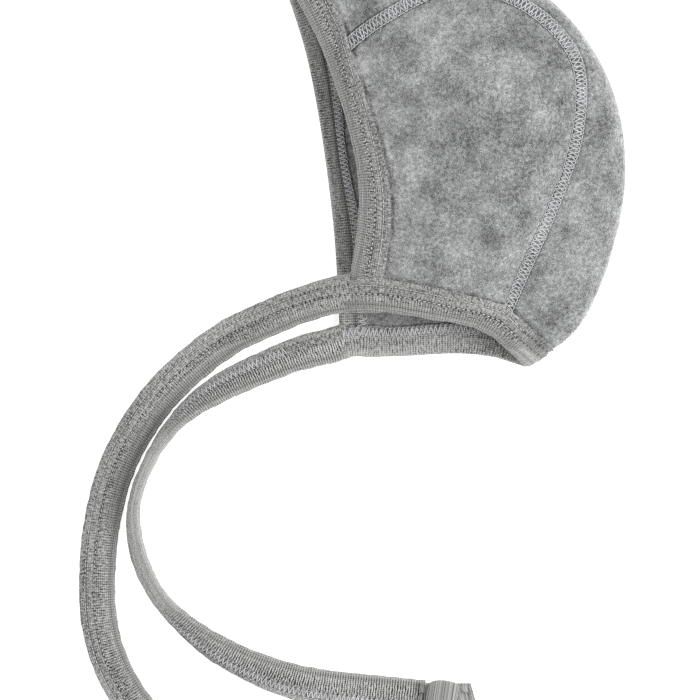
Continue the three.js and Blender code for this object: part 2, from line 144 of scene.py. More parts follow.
# Routes of the ties from the front corners on: along X and Y from the corner, the height over the tie's
# own rest on the floor, and the turn of the tape about its length in degrees
LEFT_TIE_ROUTE = [
    (-0.0053, -0.0009, 0.0156, 0), (-0.021, -0.0049, 0.0115, 0), (-0.0368, -0.0113, 0.007, 0),
    (-0.0544, -0.0195, 0.0024, 0), (-0.0669, -0.0289, 0.0005, 0), (-0.0773, -0.0378, 0, 0),
    (-0.0855, -0.0467, 0, 0), (-0.092, -0.0556, 0, 0), (-0.0973, -0.0645, 0, 0),
    (-0.1021, -0.0734, 0, 0), (-0.1054, -0.0823, 0, 0), (-0.1078, -0.0912, 0, 0),
    (-0.111, -0.1089, 0, 0), (-0.1121, -0.1266, 0, 0), (-0.1113, -0.1442, 0, 0),
    (-0.1069, -0.1618, 0, 0), (-0.0973, -0.1795, 0, 0), (-0.0816, -0.1976, 0, 0),
    (-0.07, -0.2054, 0, 0), (-0.0566, -0.2114, 0, 0),
]
RIGHT_TIE_ROUTE = [
    (-0.0032, -0.0014, 0.001, 6), (-0.013, -0.0042, 0.0005, 16), (-0.0269, -0.0097, 0, 30),
    (-0.0467, -0.018, 0, 35), (-0.0612, -0.0262, 0, 51), (-0.0722, -0.035, 0, 68),
    (-0.0798, -0.0441, 0, 74), (-0.0852, -0.0533, 0, 77), (-0.0893, -0.0623, 0, 77),
    (-0.0924, -0.0714, 0, 77), (-0.093, -0.0803, 0, 74), (-0.0922, -0.0891, 0, 70),
    (-0.09, -0.0979, 0, 68), (-0.0862, -0.1067, 0, 68), (-0.0812, -0.1155, 0, 68),
    (-0.0722, -0.1244, 0, 62), (-0.0607, -0.1339, 0, 47), (-0.0431, -0.1438, 0, 34),
    (-0.0233, -0.1514, 0, 16), (-0.0014, -0.1554, 0, 0), (0.0206, -0.1575, 0, 0),
    (0.0355, -0.1591, 0, 0),
]


def unit(vectors: np.ndarray) -> np.ndarray:
    """Scales vectors to a length of one.

    Args:
        vectors: Vectors along the last axis.

    Returns:
        The unit vectors.
    """
    return vectors / np.maximum(np.linalg.norm(vectors, axis=-1, keepdims=True), 1e-12)


def smoothstep(value: np.ndarray, start: float, end: float) -> np.ndarray:
    """Rises smoothly from 0 at the start to 1 at the end.

    Args:
        value: Values to look up.
        start: Where the rise starts.
        end: Where the rise ends.

    Returns:
        The shares, from 0 to 1.
    """
    share = np.clip((value - start) / (end - start), 0, 1)
    return share * share * (3 - 2 * share)


def bump(value: np.ndarray, middle: float, width: float) -> np.ndarray:
    """Gives a soft round bump of height one.

    Args:
        value: Values to look up.
        middle: Where the bump is highest.
        width: Half of its width.

    Returns:
        The heights, from 0 to 1.
    """
    return np.exp(-(((value - middle) / width) ** 2))


def spots(points: np.ndarray, rows: list[dict], key: str, depth: float, height: float) -> np.ndarray:
    """Adds up soft turned spots of a table.

    Args:
        points: Points measured from the cloth's own start.
        rows: The table.
        key: The column to add up.
        depth: The hat's depth.
        height: The hat's height.

    Returns:
        The sum at each point.
    """
    total = np.zeros(points.shape[:-1])
    for row in rows:
        turn = math.radians(row["turn"])
        x = points[..., 0] - row["x"] * depth
        y = points[..., 1] - row["y"] * height
        long = (x * math.cos(turn) + y * math.sin(turn)) / (row["long"] * height)
        wide = (y * math.cos(turn) - x * math.sin(turn)) / (row["wide"] * depth)
        total += row[key] * np.exp(-(long**2) - wide**2)
    return total


def centripetal(points: np.ndarray, share: np.ndarray) -> np.ndarray:
    """Evaluates centripetal Catmull-Rom curves.

    Args:
        points: Control points, of shape (..., count, 3).
        share: Places on the curves from 0 to 1, of shape (...).

    Returns:
        A point for each place.
    """
    same_place = 1e-5
    one_millimetre = 0.001
    count = points.shape[-2]
    before = 2 * points[..., :1, :] - points[..., 1:2, :]
    after = 2 * points[..., -1:, :] - points[..., -2:-1, :]
    padded = np.concatenate([before, points, after], axis=-2)
    position = np.clip(share, 0, 1) * (count - 1)
    index = np.clip(np.floor(position), 0, count - 2).astype(int)
    w = (position - index)[..., None]
    picked = [np.take_along_axis(padded, (index + k)[..., None, None], axis=-2)[..., 0, :] for k in range(4)]
    x0, x1, x2, x3 = picked
    spans = [np.linalg.norm(b - a, axis=-1, keepdims=True) ** 0.5 for a, b in zip(picked, picked[1:])]
    middle = np.where(spans[1] < same_place, one_millimetre**0.5, spans[1])
    first = np.where(spans[0] < same_place, middle, spans[0])
    last = np.where(spans[2] < same_place, middle, spans[2])
    slope1 = ((x1 - x0) / first - (x2 - x0) / (first + middle) + (x2 - x1) / middle) * middle
    slope2 = ((x2 - x1) / middle - (x3 - x1) / (middle + last) + (x3 - x2) / last) * middle
    square = -3 * x1 + 3 * x2 - 2 * slope1 - slope2
    cube = 2 * x1 - 2 * x2 + slope1 + slope2
    return x1 + slope1 * w + square * w**2 + cube * w**3


def run_of(points: np.ndarray) -> np.ndarray:
    """Measures the length along a line of points.

    Args:
        points: The points, of shape (count, 3).

    Returns:
        The length from the first point to each point.
    """
    steps = np.linalg.norm(np.diff(points, axis=0), axis=-1)
    return np.concatenate([[0.0], np.cumsum(steps)])


@dataclass
class Waves:
    """Soft seeded unevenness, a sum of waves in random directions."""

    seed: int
    length: float
    count: int = 40

    def at(self, points: np.ndarray) -> np.ndarray:
        """Gives the unevenness at points.

        Args:
            points: Places, with two or three coordinates along the last axis.

        Returns:
            Values of about -1 to 1 for each place.
        """
        rng = np.random.default_rng(self.seed)
        directions = unit(rng.normal(size=(self.count, points.shape[-1])))
        lengths = self.length * rng.uniform(0.6, 1.8, self.count)
        phases = rng.uniform(0, 2 * math.pi, self.count)
        total = np.zeros(points.shape[:-1])
        for direction, length, phase in zip(directions, lengths, phases):
            total += np.sin(points @ direction * (2 * math.pi / length) + phase)
        return total / math.sqrt(self.count / 2) / 2


@dataclass
class ClothPlaces:
    """Places on the cloth's middle, with the outward normals and the slopes both ways."""

    along: np.ndarray
    across: np.ndarray
    point: np.ndarray
    normal: np.ndarray
    slope_along: np.ndarray
    slope_across: np.ndarray


@dataclass
class Cloth:
    """The middle of the hat's cloth, as one surface that runs from face to nape and round the fold."""

    depth: float = 0.153
    height: float = 0.187
    rise: float = 0.047
    shoulder_reach: float = 0.25
    shoulder_rise: float = 0.7
    lift_fade: float = 0.008
    outline_steps: int = 40
    walk_step: float = 0.001
    probe: float = 1e-3
    shift: np.ndarray = field(default_factory=lambda: np.zeros(3))

    def __post_init__(self) -> None:
        """Works out the lengthwise curves and the lower outline, and sets the cloth where its node is."""
        scale = np.array([self.depth, self.height, self.rise])
        upper = {key: np.array(points) for key, points in UPPER_RIBS.items()}
        lower = {key: np.array(points) for key, points in LOWER_RIBS.items()}
        curves = [
            lower["edge"],
            lower["middle"],
            lower["seam"],
            self.shoulder(upper["fold"], lower["seam"]),
            upper["fold"],
            self.shoulder(upper["fold"], upper["seam"]),
            upper["seam"],
            upper["middle"],
            upper["edge"],
        ]
        self.curves = np.array(curves) * scale
        share = np.linspace(0, 1, self.outline_steps + 1)
        outline = [
            self.raw_point(np.full_like(share, FACE), share * FOLD),
            self.raw_point(share, np.full_like(share, LOWER_EDGE)),
            self.raw_point(np.full_like(share, NAPE), LOWER_SEAM + (FOLD - LOWER_SEAM) * share),
        ]
        self.outline = np.concatenate(outline)[:, :2]
        self.settle()

    def settle(self) -> None:
        """Shifts the cloth along the floor to where the left side panel's node is."""
        rib_steps = 32
        crossings = 12
        ribs = np.arange(rib_steps) / rib_steps
        crossed = np.linspace(UPPER_SEAM, UPPER_EDGE, crossings + 1)
        along, across = np.meshgrid(ribs, crossed, indexing="ij")
        places = self.places(along, across)
        sides = [places.point + side * places.normal * FLEECE_WALL / 2 for side in (1, -1)]
        lowest = np.min([side.reshape(-1, 3).min(axis=0) for side in sides], axis=0)
        node = np.array(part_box("left_side_panel")[0])
        self.shift = np.array([node[0] - lowest[0], node[1] - lowest[1], 0.0])

    def shoulder(self, fold: np.ndarray, seam: np.ndarray) -> np.ndarray:
        """Places the curve between the fold and a seam that rounds the fold off.

        Args:
            fold: The fold's points.
            seam: The seam's points.

        Returns:
            The curve's points.
        """
        share = np.array([self.shoulder_reach, self.shoulder_reach, self.shoulder_rise])
        return fold + (seam - fold) * share

    def raw_point(self, along: np.ndarray, across: np.ndarray) -> np.ndarray:
        """Gives the cloth's points before dents and the floor.

        Args:
            along: Shares of the way from face to nape.
            across: Places on the ribs.

        Returns:
            The points.
        """
        along, across = np.broadcast_arrays(along, across)
        curves = np.broadcast_to(self.curves, along.shape + self.curves.shape)
        count = self.curves.shape[0]
        rib = centripetal(curves, np.broadcast_to(along[..., None], along.shape + (count,)))
        return centripetal(rib, across / UPPER_EDGE)

    def floor_level(self, points: np.ndarray) -> np.ndarray:
        """Gives the lowest height of the cloth's middle, raised by the tape's leg near a bound edge.

        Args:
            points: Points of the lower layer.

        Returns:
            The heights.
        """
        gaps = np.full(points.shape[:-1], np.inf)
        for corner in self.outline:
            gaps = np.minimum(gaps, np.hypot(points[..., 0] - corner[0], points[..., 1] - corner[1]))
        fade = smoothstep(gaps, TAPE_WIDTH + 0.001, TAPE_WIDTH + self.lift_fade)
        return FLEECE_WALL / 2 + (TAPE_CLEARANCE + TAPE_WALL) * (1 - fade)

    def dent_depth(self, points: np.ndarray) -> np.ndarray:
        """Gives how far the soft dents sink the upper layer.

        Args:
            points: Points of the upper layer.

        Returns:
            The depths.
        """
        return self.rise * spots(points, DENTS, "depth", self.depth, self.height)

    def point(self, along: np.ndarray, across: np.ndarray) -> np.ndarray:
        """Gives the points of the cloth's middle.

        Args:
            along: Shares of the way from face to nape.
            across: Places on the ribs.

        Returns:
            The points.
        """
        points = self.raw_point(along, across).copy()
        across = np.broadcast_to(across, points.shape[:-1])
        height = points[..., 2]
        upper = across > FOLD
        low = ~upper & (height < FLEECE_WALL + TAPE_CLEARANCE + TAPE_WALL)
        dented = height - self.dent_depth(points) * smoothstep(across, FOLD, FOLD + 1)
        raised = np.maximum(height, self.floor_level(points))
        points[..., 2] = np.where(upper, dented, np.where(low, raised, height))
        return points + self.shift

    def places(self, along: np.ndarray, across: np.ndarray) -> ClothPlaces:
        """Gives points of the cloth's middle with their normals and slopes.

        Args:
            along: Shares of the way from face to nape.
            across: Places on the ribs.

        Returns:
            The places.
        """
        along, across = [np.array(values, float) for values in np.broadcast_arrays(along, across)]
        a0, a1 = np.maximum(FACE, along - self.probe), np.minimum(NAPE, along + self.probe)
        reach = self.probe * UPPER_EDGE
        c0, c1 = np.maximum(LOWER_EDGE, across - reach), np.minimum(UPPER_EDGE, across + reach)
        slope_along = (self.point(a1, across) - self.point(a0, across)) / (a1 - a0)[..., None]
        slope_across = (self.point(along, c1) - self.point(along, c0)) / (c1 - c0)[..., None]
        normal = unit(np.cross(slope_across, slope_along))
        return ClothPlaces(along, across, self.point(along, across), normal, slope_along, slope_across)

    def walk(self, start: ClothPlaces, direction: np.ndarray, distance: float) -> list[ClothPlaces]:
        """Goes a given way over the cloth, in a direction that keeps turning with the cloth.

        Args:
            start: Where the walks start.
            direction: The directions at the start.
            distance: The length of each walk.

        Returns:
            The places after each step, the start first.
        """
        heading = direction.copy()
        steps = max(1, round(distance / self.walk_step))
        passed = [start]
        for _ in range(steps):
            here = passed[-1]
            along_normal = np.sum(heading * here.normal, axis=-1, keepdims=True)
            heading = unit(heading - along_normal * here.normal)
            step = heading * (distance / steps)
            aa = np.sum(here.slope_along**2, axis=-1)
            ab = np.sum(here.slope_along * here.slope_across, axis=-1)
            bb = np.sum(here.slope_across**2, axis=-1)
            pa = np.sum(step * here.slope_along, axis=-1)
            pb = np.sum(step * here.slope_across, axis=-1)
            area = np.maximum(aa * bb - ab * ab, 1e-16)
            along = np.clip(here.along + (pa * bb - pb * ab) / area, FACE, NAPE)
            across = np.clip(here.across + (pb * aa - pa * ab) / area, LOWER_EDGE, UPPER_EDGE)
            passed.append(self.places(along, across))
        return passed

    def across_after(self, length: float, start: float, towards: float) -> float:
        """Tells how far across the ribs the face edge has run after a length.

        Args:
            length: The length along the face edge.
            start: The end of the edge to measure from.
            towards: The way to go.

        Returns:
            The place across the ribs.
        """
        steps = 2000
        across = np.linspace(start, towards, steps + 1)
        run = run_of(self.point(np.full_like(across, FACE), across))
        return float(np.interp(length, run, across))


def face_pinch(cloth: Cloth, points: np.ndarray, upper: np.ndarray) -> np.ndarray:
    """Tells by what share the tape at the face edge is narrowed, where it rolls under.

    Args:
        cloth: The cloth.
        points: Points beside the face edge.
        upper: Where they lie on the upper layer.

    Returns:
        The shares.
    """
    height = (points[..., 1] - cloth.shift[1]) / cloth.height
    return np.where(upper, 0.24 * bump(height, 0.66, 0.2), 0.28 * bump(height, 0.5, 0.15))


@dataclass
class Shape:
    """The points and faces of a mesh in the making."""

    points: list[np.ndarray] = field(default_factory=list)
    quads: list[np.ndarray] = field(default_factory=list)
    triangles: list[np.ndarray] = field(default_factory=list)
    places: list[np.ndarray] = field(default_factory=list)
    count: int = 0
    lowest: float = 0.0

    def add(
        self,
        points: np.ndarray,
        quads: np.ndarray | None = None,
        triangles: np.ndarray | None = None,
        places: np.ndarray | None = None,
    ) -> None:
        """Adds points and the faces between them.

        Args:
            points: The points, of shape (count, 3).
            quads: Four point numbers for each face.
            triangles: Three point numbers for each face.
            places: The points' places on their cloth or tape.
        """
        points = points.reshape(-1, 3)
        self.points.append(points)
        self.places.append(np.zeros_like(points) if places is None else places.reshape(-1, 3))
        if quads is not None:
            self.quads.append(quads.reshape(-1, 4) + self.count)
        if triangles is not None:
            self.triangles.append(triangles.reshape(-1, 3) + self.count)
        self.count += len(points)

    def add_rings(self, rings: np.ndarray, places: np.ndarray | None = None) -> None:
        """Adds closed tubes with their ends capped.

        Args:
            rings: Points of shape (tubes, rings, sides, 3).
            places: Places of the same shape.
        """
        tubes, steps, sides = rings.shape[:3]
        number = np.arange(tubes * steps * sides).reshape(tubes, steps, sides)
        after = np.roll(number, -1, axis=2)
        quads = np.stack([number[:, :-1], after[:, :-1], after[:, 1:], number[:, 1:]], axis=-1)
        fan = np.arange(1, sides - 1)
        caps = []
        for ring, second, third in ((0, fan + 1, fan), (-1, fan, fan + 1)):
            hub = np.broadcast_to(number[:, ring, :1], (tubes, sides - 2))
            cap = np.stack([hub, number[:, ring, second], number[:, ring, third]], axis=-1)
            caps.append(cap.reshape(-1, 3))
        self.add(rings, quads, np.concatenate(caps), places)

    def add_threads(self, paths: np.ndarray, over: np.ndarray, radius: float) -> None:
        """Adds round threads.

        Args:
            paths: The threads' middles, of shape (threads, steps, 3).
            over: The way away from the cloth at each point, of the same shape.
            radius: Half of the threads' thickness.
        """
        sides = 4
        thin_end = 0.35
        heading = unit(np.gradient(paths, axis=1))
        side = unit(np.cross(heading, over))
        rise = np.cross(side, heading)
        angle = np.linspace(0, 2 * math.pi, sides, endpoint=False)[:, None]
        taper = np.ones(paths.shape[1])
        taper[0] = taper[-1] = thin_end
        reach = (radius * taper)[None, :, None, None]
        around = np.cos(angle) * side[:, :, None] + np.sin(angle) * rise[:, :, None]
        self.add_rings(paths[:, :, None] + reach * around)

    def mesh_object(self, name: str, smooth: bool = True) -> bpy.types.Object:
        """Makes the mesh object, with its faces turned out.

        Args:
            name: The object's name.
            smooth: Whether its faces are shaded smoothly.

        Returns:
            The new object, in the scene.
        """
        points = np.concatenate(self.points)
        points[:, 2] = np.maximum(points[:, 2], self.lowest)
        quads = np.concatenate(self.quads) if self.quads else np.zeros((0, 4), int)
        triangles = np.concatenate(self.triangles) if self.triangles else np.zeros((0, 3), int)
        corners = np.concatenate([quads.ravel(), triangles.ravel()]).astype(np.int32)
        starts = np.concatenate([np.arange(len(quads)) * 4, len(quads) * 4 + np.arange(len(triangles)) * 3])
        mesh = bpy.data.meshes.new(name)
        mesh.vertices.add(len(points))
        mesh.vertices.foreach_set("co", points.astype(np.float32).ravel())
        mesh.loops.add(len(corners))
        mesh.loops.foreach_set("vertex_index", corners)
        mesh.polygons.add(len(starts))
        mesh.polygons.foreach_set("loop_start", starts.astype(np.int32))
        mesh.polygons.foreach_set("use_smooth", np.full(len(starts), smooth))
        place = mesh.attributes.new("place", "FLOAT_VECTOR", "POINT")
        place.data.foreach_set("vector", np.concatenate(self.places).astype(np.float32).ravel())
        mesh.update(calc_edges=True)
        mesh.validate()
        made = bpy.data.objects.new(name, mesh)
        bpy.context.scene.collection.objects.link(made)
        return made


@dataclass
class Strip:
    """A band of tape or seam: a table of points and normals along its run and across its width."""

    run: np.ndarray
    width: np.ndarray
    points: np.ndarray
    normals: np.ndarray

    def place(self, run: np.ndarray, width: np.ndarray, height: np.ndarray) -> np.ndarray:
        """Places points by their run, width and height over the band's middle.

        Args:
            run: Lengths along the band.
            width: Lengths across it.
            height: Lengths off it.

        Returns:
            The points.
        """
        point, normal = self.frame(run, width)
        return point + normal * np.asarray(height)[..., None]

    def frame(self, run: np.ndarray, width: np.ndarray) -> tuple[np.ndarray, np.ndarray]:
        """Looks up points and normals of the band.

        Args:
            run: Lengths along the band.
            width: Lengths across it.

        Returns:
            The points and the unit normals.
        """
        run, width = np.broadcast_arrays(run, width)
        i, u = self.cell(self.run, run)
        j, v = self.cell(self.width, width)
        point, normal = 0.0, 0.0
        for run_share, row in ((1 - u, i), (u, i + 1)):
            for width_share, column in ((1 - v, j), (v, j + 1)):
                weight = (run_share * width_share)[..., None]
                point = point + weight * self.points[row, column]
                normal = normal + weight * self.normals[row, column]
        return point, unit(normal)

    @staticmethod
    def cell(table: np.ndarray, value: np.ndarray) -> tuple[np.ndarray, np.ndarray]:
        """Finds the cell of a rising table that a value falls in, and the share of the way through it."""
        index = np.clip(np.searchsorted(table, value, side="right") - 1, 0, len(table) - 2)
        return index, (value - table[index]) / (table[index + 1] - table[index])


class Side(Enum):
    """The two faces of a tape or a tie."""

    OUTER = 1
    INNER = -1


@dataclass
class Stitching:
    """The coverstitch that holds a folded tape: two rows of stitches outside, and a zigzag inside."""

    rows: tuple[float, float] = STITCH_ROWS
    pitch: float = STITCH_PITCH
    stitch: float = 0.0014
    thread: float = 0.00024
    sink: float = 0.0003
    drift: float = 0.0

    def sew_rows(
        self, shape: Shape, strip: Strip, side: Side, height: float, start: float, end: float
    ) -> None:
        """Adds both rows of short stitches.

        Args:
            shape: The mesh in the making.
            strip: The tape.
            side: The face that the rows are on.
            height: The height of that face over the strip's middle.
            start: Where the rows start along the tape.
            end: Where they end.
        """
        steps = 5
        share = np.linspace(0, 1, steps)
        arch = np.sin(share * math.pi) * 0.00022 - self.sink
        for row in self.rows:
            lead = self.pitch * (1 - self.stitch / self.pitch) / 2
            first = np.arange(math.ceil(start / self.pitch), int(end / self.pitch)) * self.pitch + lead
            run = first[:, None] + share * self.stitch
            point, normal = strip.frame(run, row + self.drift * run)
            over = normal * side.value
            shape.add_threads(point + over * (height + arch)[..., None], over, self.thread)

    def sew_zigzag(
        self, shape: Shape, strip: Strip, side: Side, height: float, start: float, end: float
    ) -> None:
        """Adds the looper thread that runs to and fro between the rows, and the chains along both rows.

        Args:
            shape: The mesh in the making.
            strip: The tape.
            side: The face that the thread is on.
            height: The height of that face over the strip's middle.
            start: Where the thread starts along the tape.
            end: Where it ends.
        """
        turns = max(2, int((end - start) / self.pitch * 2))
        steps = 4
        corner = np.arange(turns + 1)
        run = start + corner * self.pitch / 2
        width = np.where(corner % 2 == 0, self.rows[0], self.rows[1])
        share = np.arange(turns * steps + 1) / steps
        path_run = np.interp(share, corner, run)
        path_width = np.interp(share, corner, width) + self.drift * path_run
        point, normal = strip.frame(path_run, path_width)
        over = normal * side.value
        shape.add_threads((point + over * (height + self.thread * 0.5))[None], over[None], self.thread * 1.25)
        self.sew_rows(shape, strip, side, height, start, end)


@dataclass(frozen=True)
class Finish:
    """What a material's surface is like: its tones, the sizes of its specks and patches, and its relief."""

    dark: tuple[float, float, float]
    light: tuple[float, float, float]
    speck: float
    mottle: float
    blend: float
    contrast: float
    roughness: float
    sheen: float
    relief: float
    streak: tuple[float, float, float] = (1, 1, 1)
    drift: tuple[float, float, float] = (1, 1, 1)


FLEECE = Finish(
    dark=(0.085, 0.088, 0.085),
    light=(0.5, 0.505, 0.505),
    speck=0.0009,
    mottle=0.0055,
    blend=0.42,
    contrast=4.6,
    roughness=0.95,
    sheen=0.5,
    relief=0.0004,
)
TAPE = Finish(
    dark=(0.04, 0.04, 0.038),
    light=(0.57, 0.57, 0.555),
    speck=0.0006,
    mottle=0.003,
    blend=0.26,
    contrast=5.0,
    roughness=0.9,
    sheen=0.35,
    relief=0.00025,
    streak=(1.3, 0.6, 0.6),
    drift=(0.12, 1, 1),
)
THREAD = Finish(
    dark=(0.38, 0.39, 0.4),
    light=(0.8, 0.81, 0.83),
    speck=0.0006,
    mottle=0.004,
    blend=0.33,
    contrast=4.0,
    roughness=0.85,
    sheen=0.3,
    relief=0.00005,
)
TAPE_THREAD = replace(THREAD, dark=(0.42, 0.42, 0.44), light=(0.84, 0.85, 0.87))
NAP = Finish(
    dark=(0.07, 0.072, 0.07),
    light=(0.62, 0.625, 0.63),
    speck=0.0008,
    mottle=0.007,
    blend=0.45,
    contrast=4.2,
    roughness=0.95,
    sheen=0.5,
    relief=0.0001,
)


@dataclass(frozen=True)
class KnitMarks:
    """How strongly the ribs, loops and stitches of a tape show in its tone and its height; the darker tones
    in the gaps between ribs and loops, in the pressed rows, in the needle holes and between the zigzag's
    threads are painted shade.
    """

    rib: float = 0.16
    loop: float = 0.16
    groove: float = -0.13
    groove_turned: float = 0.11
    bead: float = 0.16
    hole: float = -0.36
    hole_turned: float = 0.24
    under: float = -0.08
    all_over: float = 0.03
    loop_height: float = 0.5
    hole_height: float = -1.0
    bead_height: float = 0.8


class Graph:
    """A node tree with short calls for adding and linking nodes."""

    def __init__(self, tree: bpy.types.NodeTree) -> None:
        """Takes the tree that nodes are added to."""
        self.tree = tree

    def node(self, kind: str, inputs: dict | None = None, **settings: object) -> bpy.types.Node:
        """Adds a node.

        Args:
            kind: The node's type.
            inputs: Values or sockets for its inputs.
            **settings: The node's own settings.

        Returns:
            The node.
        """
        made = self.tree.nodes.new(kind)
        for key, value in settings.items():
            setattr(made, key, value)
        for key, value in (inputs or {}).items():
            if isinstance(value, Socket):
                self.tree.links.new(value, made.inputs[key])
            else:
                made.inputs[key].default_value = value
        return made

    def maths(self, operation: str, first: object, second: object = 0.0, third: object = 0.0) -> Socket:
        """Adds a math node and returns its value."""
        return self.node("ShaderNodeMath", {0: first, 1: second, 2: third}, operation=operation).outputs[0]

    def vector_maths(self, operation: str, first: Socket, second: Socket) -> Socket:
        """Adds a vector math node and returns its vector."""
        return self.node("ShaderNodeVectorMath", {0: first, 1: second}, operation=operation).outputs[0]

    def split(self, vector: Socket) -> bpy.types.NodeOutputs:
        """Adds a node that splits a vector and returns its three values."""
        return self.node("ShaderNodeSeparateXYZ", {0: vector}).outputs

    def put_out(self, sockets: dict[str, Socket]) -> None:
        """Links sockets to a group's outputs of the same names."""
        leaving = self.node("NodeGroupOutput")
        for name, socket in sockets.items():
            self.tree.links.new(socket, leaving.inputs[name])

    def noise(self, vector: Socket, scale: object, detail: float, roughness: float) -> Socket:
        """Adds a noise texture and returns its value."""
        inputs = {"Vector": vector, "Scale": scale, "Detail": detail, "Roughness": roughness}
        return self.node("ShaderNodeTexNoise", inputs).outputs["Fac"]


def new_group(
    name: str, vectors: tuple[str, ...], values: tuple[str, ...], outputs: tuple[str, ...]
) -> Graph:
    """Starts a shader node group.

    Args:
        name: The group's name.
        vectors: The inputs that are vectors.
        values: The inputs that are numbers.
        outputs: The outputs, all of them numbers.

    Returns:
        The group's nodes.
    """
    tree = bpy.data.node_groups.new(name, "ShaderNodeTree")
    for kind, names in (("NodeSocketVector", vectors), ("NodeSocketFloat", values)):
        for socket in names:
            tree.interface.new_socket(socket, in_out="INPUT", socket_type=kind)
    for socket in outputs:
        tree.interface.new_socket(socket, in_out="OUTPUT", socket_type="NodeSocketFloat")
    return Graph(tree)


def melange_group() -> bpy.types.NodeTree:
    """Builds the group for melange wool: light and dark fibres blended into each other.

    Returns:
        The group, with the outputs Tone and Height.
    """
    values = ("Speck Scale", "Mottle Scale", "Blend", "Contrast")
    graph = new_group("melange_wool", ("Place", "Streak", "Drift"), values, ("Tone", "Height"))
    entry = graph.node("NodeGroupInput").outputs
    stretched = graph.vector_maths("MULTIPLY", entry["Place"], entry["Streak"])
    speck = graph.noise(stretched, entry["Speck Scale"], 3.0, 0.65)
    fine = graph.noise(stretched, graph.maths("MULTIPLY", entry["Speck Scale"], 2.7), 2.0, 0.6)
    drawn = graph.vector_maths("MULTIPLY", entry["Place"], entry["Drift"])
    mottle = graph.noise(drawn, entry["Mottle Scale"], 2.0, 0.5)
    patch = graph.noise(drawn, graph.maths("MULTIPLY", entry["Mottle Scale"], 0.4), 1.0, 0.5)
    small = graph.maths("MULTIPLY_ADD", speck, 0.6, graph.maths("MULTIPLY", fine, 0.4))
    large = graph.maths("MULTIPLY_ADD", mottle, 0.6, graph.maths("MULTIPLY", patch, 0.4))
    mixed = graph.maths("MULTIPLY_ADD", graph.maths("SUBTRACT", large, small), entry["Blend"], small)
    tone = graph.maths("MULTIPLY_ADD", graph.maths("SUBTRACT", mixed, 0.5), entry["Contrast"], 0.5)
    graph.put_out({"Tone": tone, "Height": small})
    return graph.tree


def rib_group() -> bpy.types.NodeTree:
    """Builds the group for a rib-knit tape: fine ribs across it, made of small loops.

    Returns:
        The group, with the outputs Rib and Loop, both 0 in the gaps and 1 on the yarn.
    """
    graph = new_group("rib_knit_loops", ("Place",), ("Rib Pitch", "Loop Pitch"), ("Rib", "Loop"))
    entry = graph.node("NodeGroupInput").outputs
    lengths = graph.split(entry["Place"])
    waves = {}
    for axis, name in enumerate(("Rib", "Loop")):
        turned = graph.maths("MULTIPLY", lengths[axis], 2 * math.pi)
        angle = graph.maths("DIVIDE", turned, entry[name + " Pitch"])
        waves[name] = graph.maths("MULTIPLY_ADD", graph.maths("COSINE", angle), 0.5, 0.5)
    graph.put_out(waves)
    return graph.tree


def stitch_group() -> bpy.types.NodeTree:
    """Builds the group for the two rows of stitches that run along a folded tape.

    Returns:
        The group. Groove is 1 in the pressed line of a row, Hole is 1 where the needle went through,
        Bead is 1 on the thread between two holes, and Open is 1 on the tape between the fold and the rows.
        Turned is 1 on the leg with the zigzag, and Under is 1 between the rows of that leg.
    """
    values = ("First Row", "Second Row", "Pitch", "Zigzag Leg")
    marks = ("Groove", "Hole", "Bead", "Open", "Turned", "Under")
    graph = new_group("stitch_rows", ("Place",), values, marks)
    entry = graph.node("NodeGroupInput").outputs
    split = graph.split(entry["Place"])
    width = graph.maths("ABSOLUTE", split[1])
    to_first = graph.maths("ABSOLUTE", graph.maths("SUBTRACT", width, entry["First Row"]))
    to_second = graph.maths("ABSOLUTE", graph.maths("SUBTRACT", width, entry["Second Row"]))
    off_row = graph.maths("MINIMUM", to_first, to_second)
    on_second = graph.maths("LESS_THAN", to_second, to_first)
    count = graph.maths("DIVIDE", split[0], entry["Pitch"])
    part = graph.maths("FRACT", graph.maths("MULTIPLY_ADD", on_second, 0.4, count))
    from_bead = graph.maths("MULTIPLY", graph.maths("SUBTRACT", part, 0.5), entry["Pitch"])
    to_end = graph.maths("SUBTRACT", 0.5, graph.maths("ABSOLUTE", graph.maths("SUBTRACT", part, 0.5)))
    from_hole = graph.maths("MULTIPLY", to_end, entry["Pitch"])

    def reach(along: Socket, squeeze: float) -> Socket:
        """Measures the distance from a mark, with its length along the row squeezed."""
        squeezed = graph.maths("MULTIPLY", along, squeeze)
        squares = graph.maths("MULTIPLY_ADD", squeezed, squeezed, graph.maths("MULTIPLY", off_row, off_row))
        return graph.maths("SQRT", squares)

    def fade(value: Socket, start: float, end: float) -> Socket:
        """Falls smoothly from 1 to 0."""
        inputs = {"Value": value, "From Min": start, "From Max": end, "To Min": 1.0, "To Max": 0.0}
        return graph.node("ShaderNodeMapRange", inputs, interpolation_type="SMOOTHSTEP").outputs[0]

    beyond = graph.maths("SUBTRACT", width, entry["First Row"])
    before = graph.maths("SUBTRACT", entry["Second Row"], width)
    turned = graph.maths("GREATER_THAN", graph.maths("MULTIPLY", split[1], entry["Zigzag Leg"]), 0.0)
    inside = graph.maths("SUBTRACT", 1.0, fade(graph.maths("MINIMUM", beyond, before), -0.0004, 0.0002))
    outputs = {
        "Turned": turned,
        "Under": graph.maths("MULTIPLY", turned, inside),
        "Groove": fade(off_row, 0.0002, 0.0012),
        "Hole": fade(reach(from_hole, 0.8), 0.0002, 0.00055),
        "Bead": fade(reach(from_bead, 0.45), 0.0002, 0.0005),
        "Open": fade(beyond, -0.0008, 0.0002),
    }
    graph.put_out(outputs)
    return graph.tree


class Pattern(Enum):
    """What a material's melange is laid out by."""

    PLAIN = "plain"
    RIBS = "ribs"
    FIBRES = "fibres"


